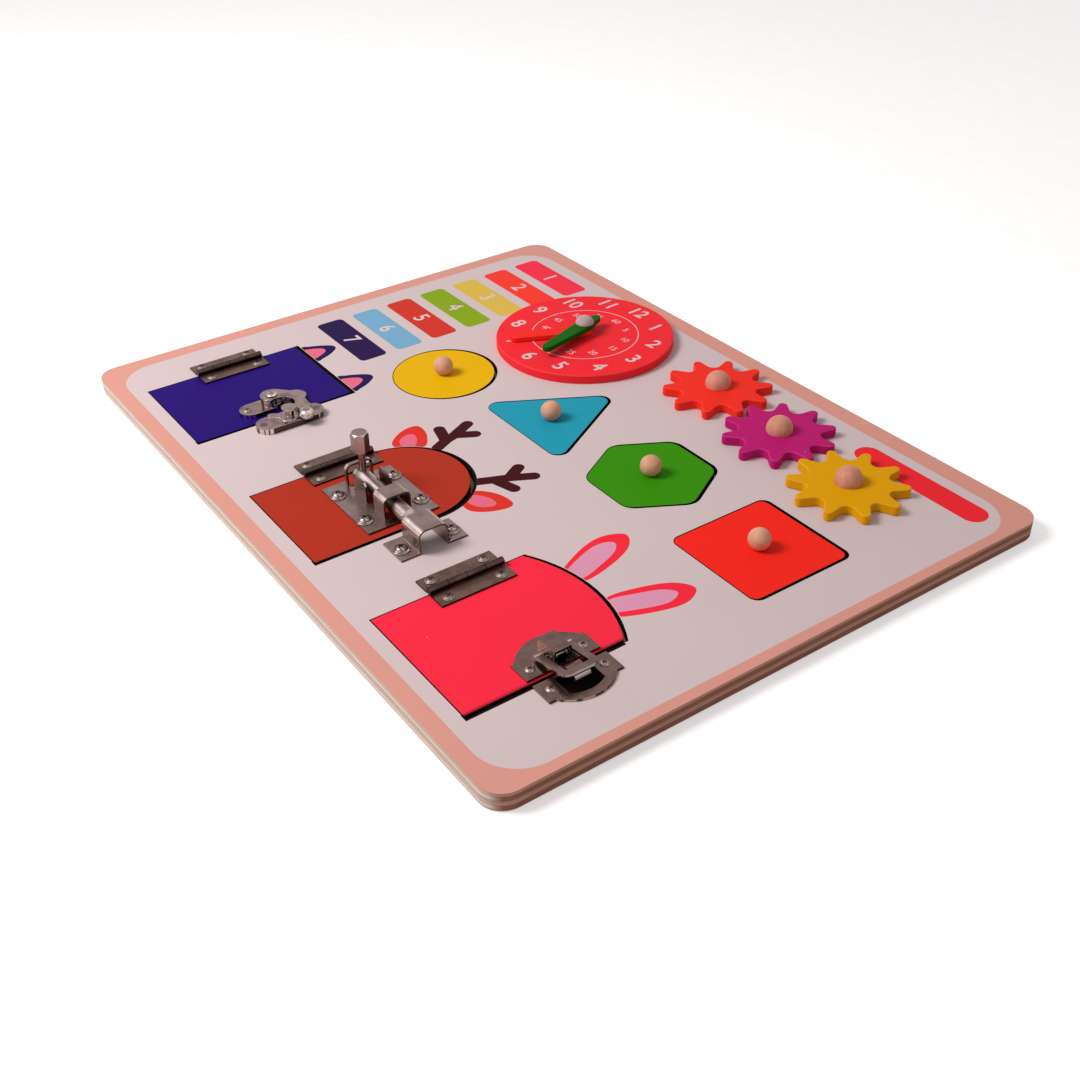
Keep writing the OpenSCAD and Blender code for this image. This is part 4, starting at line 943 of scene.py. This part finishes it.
# %% Deer and rabbit ears
pink_hole = ((120.25, -118.0), 72.3)
brick = inked("brick_ink", srgb(218, 52, 42))
scarlet = inked("scarlet_ink", srgb(246, 45, 64))
mauve = inked("mauve_ink", srgb(220, 150, 176))
ears = [
    ("deer_ear_left", brown_hole, brick, [
        (-23.2, -44), (-29, -39), (-36, -36.3), (-42.6, -36.8), (-43.6, -43), (-40, -51),
        (-33.6, -56.6), (-24, -54)]),
    ("deer_ear_left_inner", brown_hole, rose, [
        (-26.5, -47.5), (-31.5, -43.6), (-36.6, -42.8), (-38, -46.5), (-35.6, -51.2),
        (-31, -53.2), (-26, -52)]),
    ("deer_ear_right", brown_soot, brick, [
        (26.6, -46), (33, -40), (40, -37.4), (46.6, -37.8), (47.8, -43), (44, -52.5),
        (37.4, -57.6), (26, -55)]),
    ("deer_ear_right_inner", brown_soot, rose, [
        (29.5, -48), (35.5, -44), (41, -43.6), (42.6, -46.5), (39.6, -51.6), (34.6, -54), (28, -53)]),
    ("rabbit_ear_left", pink_hole, scarlet, [
        (102, -49), (94, -32), (92.5, -20), (97.5, -10.9), (106, -16), (112, -30), (114.7, -46.3),
        (109, -56)]),
    ("rabbit_ear_left_inner", pink_hole, mauve, [
        (103.6, -48), (97.5, -33), (96.5, -24), (99.7, -19), (105, -23), (109.5, -34),
        (112.5, -46.3), (108, -54)]),
    ("rabbit_ear_right", pink_hole, scarlet, [
        (143.6, -49), (150.5, -32), (152, -20), (146.6, -11.5), (138, -17), (132, -31),
        (129.5, -46.3), (136, -56)]),
    ("rabbit_ear_right_inner", pink_hole, mauve, [
        (140.5, -48), (146.5, -33), (147.6, -25), (144.4, -19.6), (139, -24), (134.5, -35),
        (131.4, -46.3), (136, -54)])]
for name, hole, ink, points in ears:
    film(name, [clear_of(smooth(points), *hole)], ink, layer=2 if "inner" in name else 1)
print("ears", len(ears))

# %% [markdown]
# ## The clock's face
# The dial carries a thin ring, the hours outside it and the minutes inside it. The figures are
# text objects: Blender keeps their curves smooth, and an offset makes the hours bolder. The whole
# face is turned four degrees, as the dial of the real board is glued on.

# %% Clock face
dial_low, dial_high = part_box("clock_dial")
dial_x, dial_y = ((dial_low + dial_high) / 2 / MM)[:2]
dial_top = dial_high.z / MM
dial_turn = 4
for number in range(1, 13):
    angle = math.radians(90 + dial_turn - 30 * number)
    for kind, value, out, size, weight in (("hour", number, 40.6, 12.8, 0.2),
                                           ("minute", number * 5, 23.6, 5.6, 0.0)):
        numeral(f"{kind}_{value}", str(value), dial_x + out * math.cos(angle),
                dial_y + out * math.sin(angle), size, pale_ink, weight, dial_turn, floor=dial_top, layer=1)
ring = bmesh.new()
bridge(ring, [loop(ring, circle(dial_x, dial_y, r, 120), dial_top + INK) for r in (30.5, 30.0)])
minute_ring = piece("minute_ring", ring, pale_ink)
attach(minute_ring, "board")
print("clock face at", round(dial_x, 1), round(dial_y, 1), "mm")

# %% [markdown]
# ## Studio
# The board lies on a plain pale floor, under an even world. The camera, and the reflections in
# metal, see the world as white. The floor adds a little white of its own for them, so that it
# reads white while it still catches the board's shadow.

# %% World and floor
def seen_directly(tree):
    """1 for rays from the camera and for mirror and glass rays, else 0."""
    ray = put(tree, "LightPath").outputs
    first = calc(tree, "MAXIMUM", ray["Is Camera Ray"], ray["Is Glossy Ray"])
    return calc(tree, "MAXIMUM", first, ray["Is Transmission Ray"])


world = bpy.data.worlds.new("studio")
bpy.context.scene.world = world
world.use_nodes = True
tree = world.node_tree
sky = mix(tree, seen_directly(tree), srgb(174, 172, 172), (1, 1, 1, 1))
tree.links.new(sky, tree.nodes["Background"].inputs["Color"])

plane = bmesh.new()
bmesh.ops.create_grid(plane, x_segments=1, y_segments=1, size=4)
data = bpy.data.meshes.new("studio_floor")
plane.to_mesh(data)
plane.free()
studio_floor = bpy.data.objects.new("studio_floor", data)
studio_floor.location.z = -0.2 * MM
bpy.context.scene.collection.objects.link(studio_floor)
material, tree, shader = start("studio_floor", Specular_IOR_Level=0.0)
mottle = noise(tree, put(tree, "TexCoord").outputs["Object"], 60, 3)
pale = mix(tree, fade(tree, mottle, 0.3, 0.7), srgb(232, 230, 229), srgb(236, 235, 234))
surface(tree, shader, pale, fade(tree, mottle, 0.3, 0.7, 0.8, 0.9), mottle, depth=0.0001)
glow = mix(tree, seen_directly(tree), (0, 0, 0, 1), (0.42, 0.42, 0.42, 1))
tree.links.new(glow, shader.inputs["Emission Color"])
shader.inputs["Emission Strength"].default_value = 1.0
data.materials.append(material)
print("floor at", round(studio_floor.location.z / MM, 1), "mm")

# %% [markdown]
# ## Lamp
# One large soft lamp stands to the photograph's left, so shadows fall to the right, and the world
# fills them.

# %% Lamp
light = bpy.data.lights.new("soft_lamp", "AREA")
light.shape, light.size, light.energy = "DISK", 0.5, 10.4
light.color = (1.0, 0.985, 0.975)
soft_lamp = bpy.data.objects.new("soft_lamp", light)
soft_lamp.location = (-0.36, -0.66, 0.85)
soft_lamp.rotation_mode = "QUATERNION"
soft_lamp.rotation_quaternion = (-soft_lamp.location).to_track_quat("-Z", "Y")
bpy.context.scene.collection.objects.link(soft_lamp)
bpy.context.scene.view_settings.view_transform = "Standard"
print("lamp", round(soft_lamp.location.length, 2), "m away")
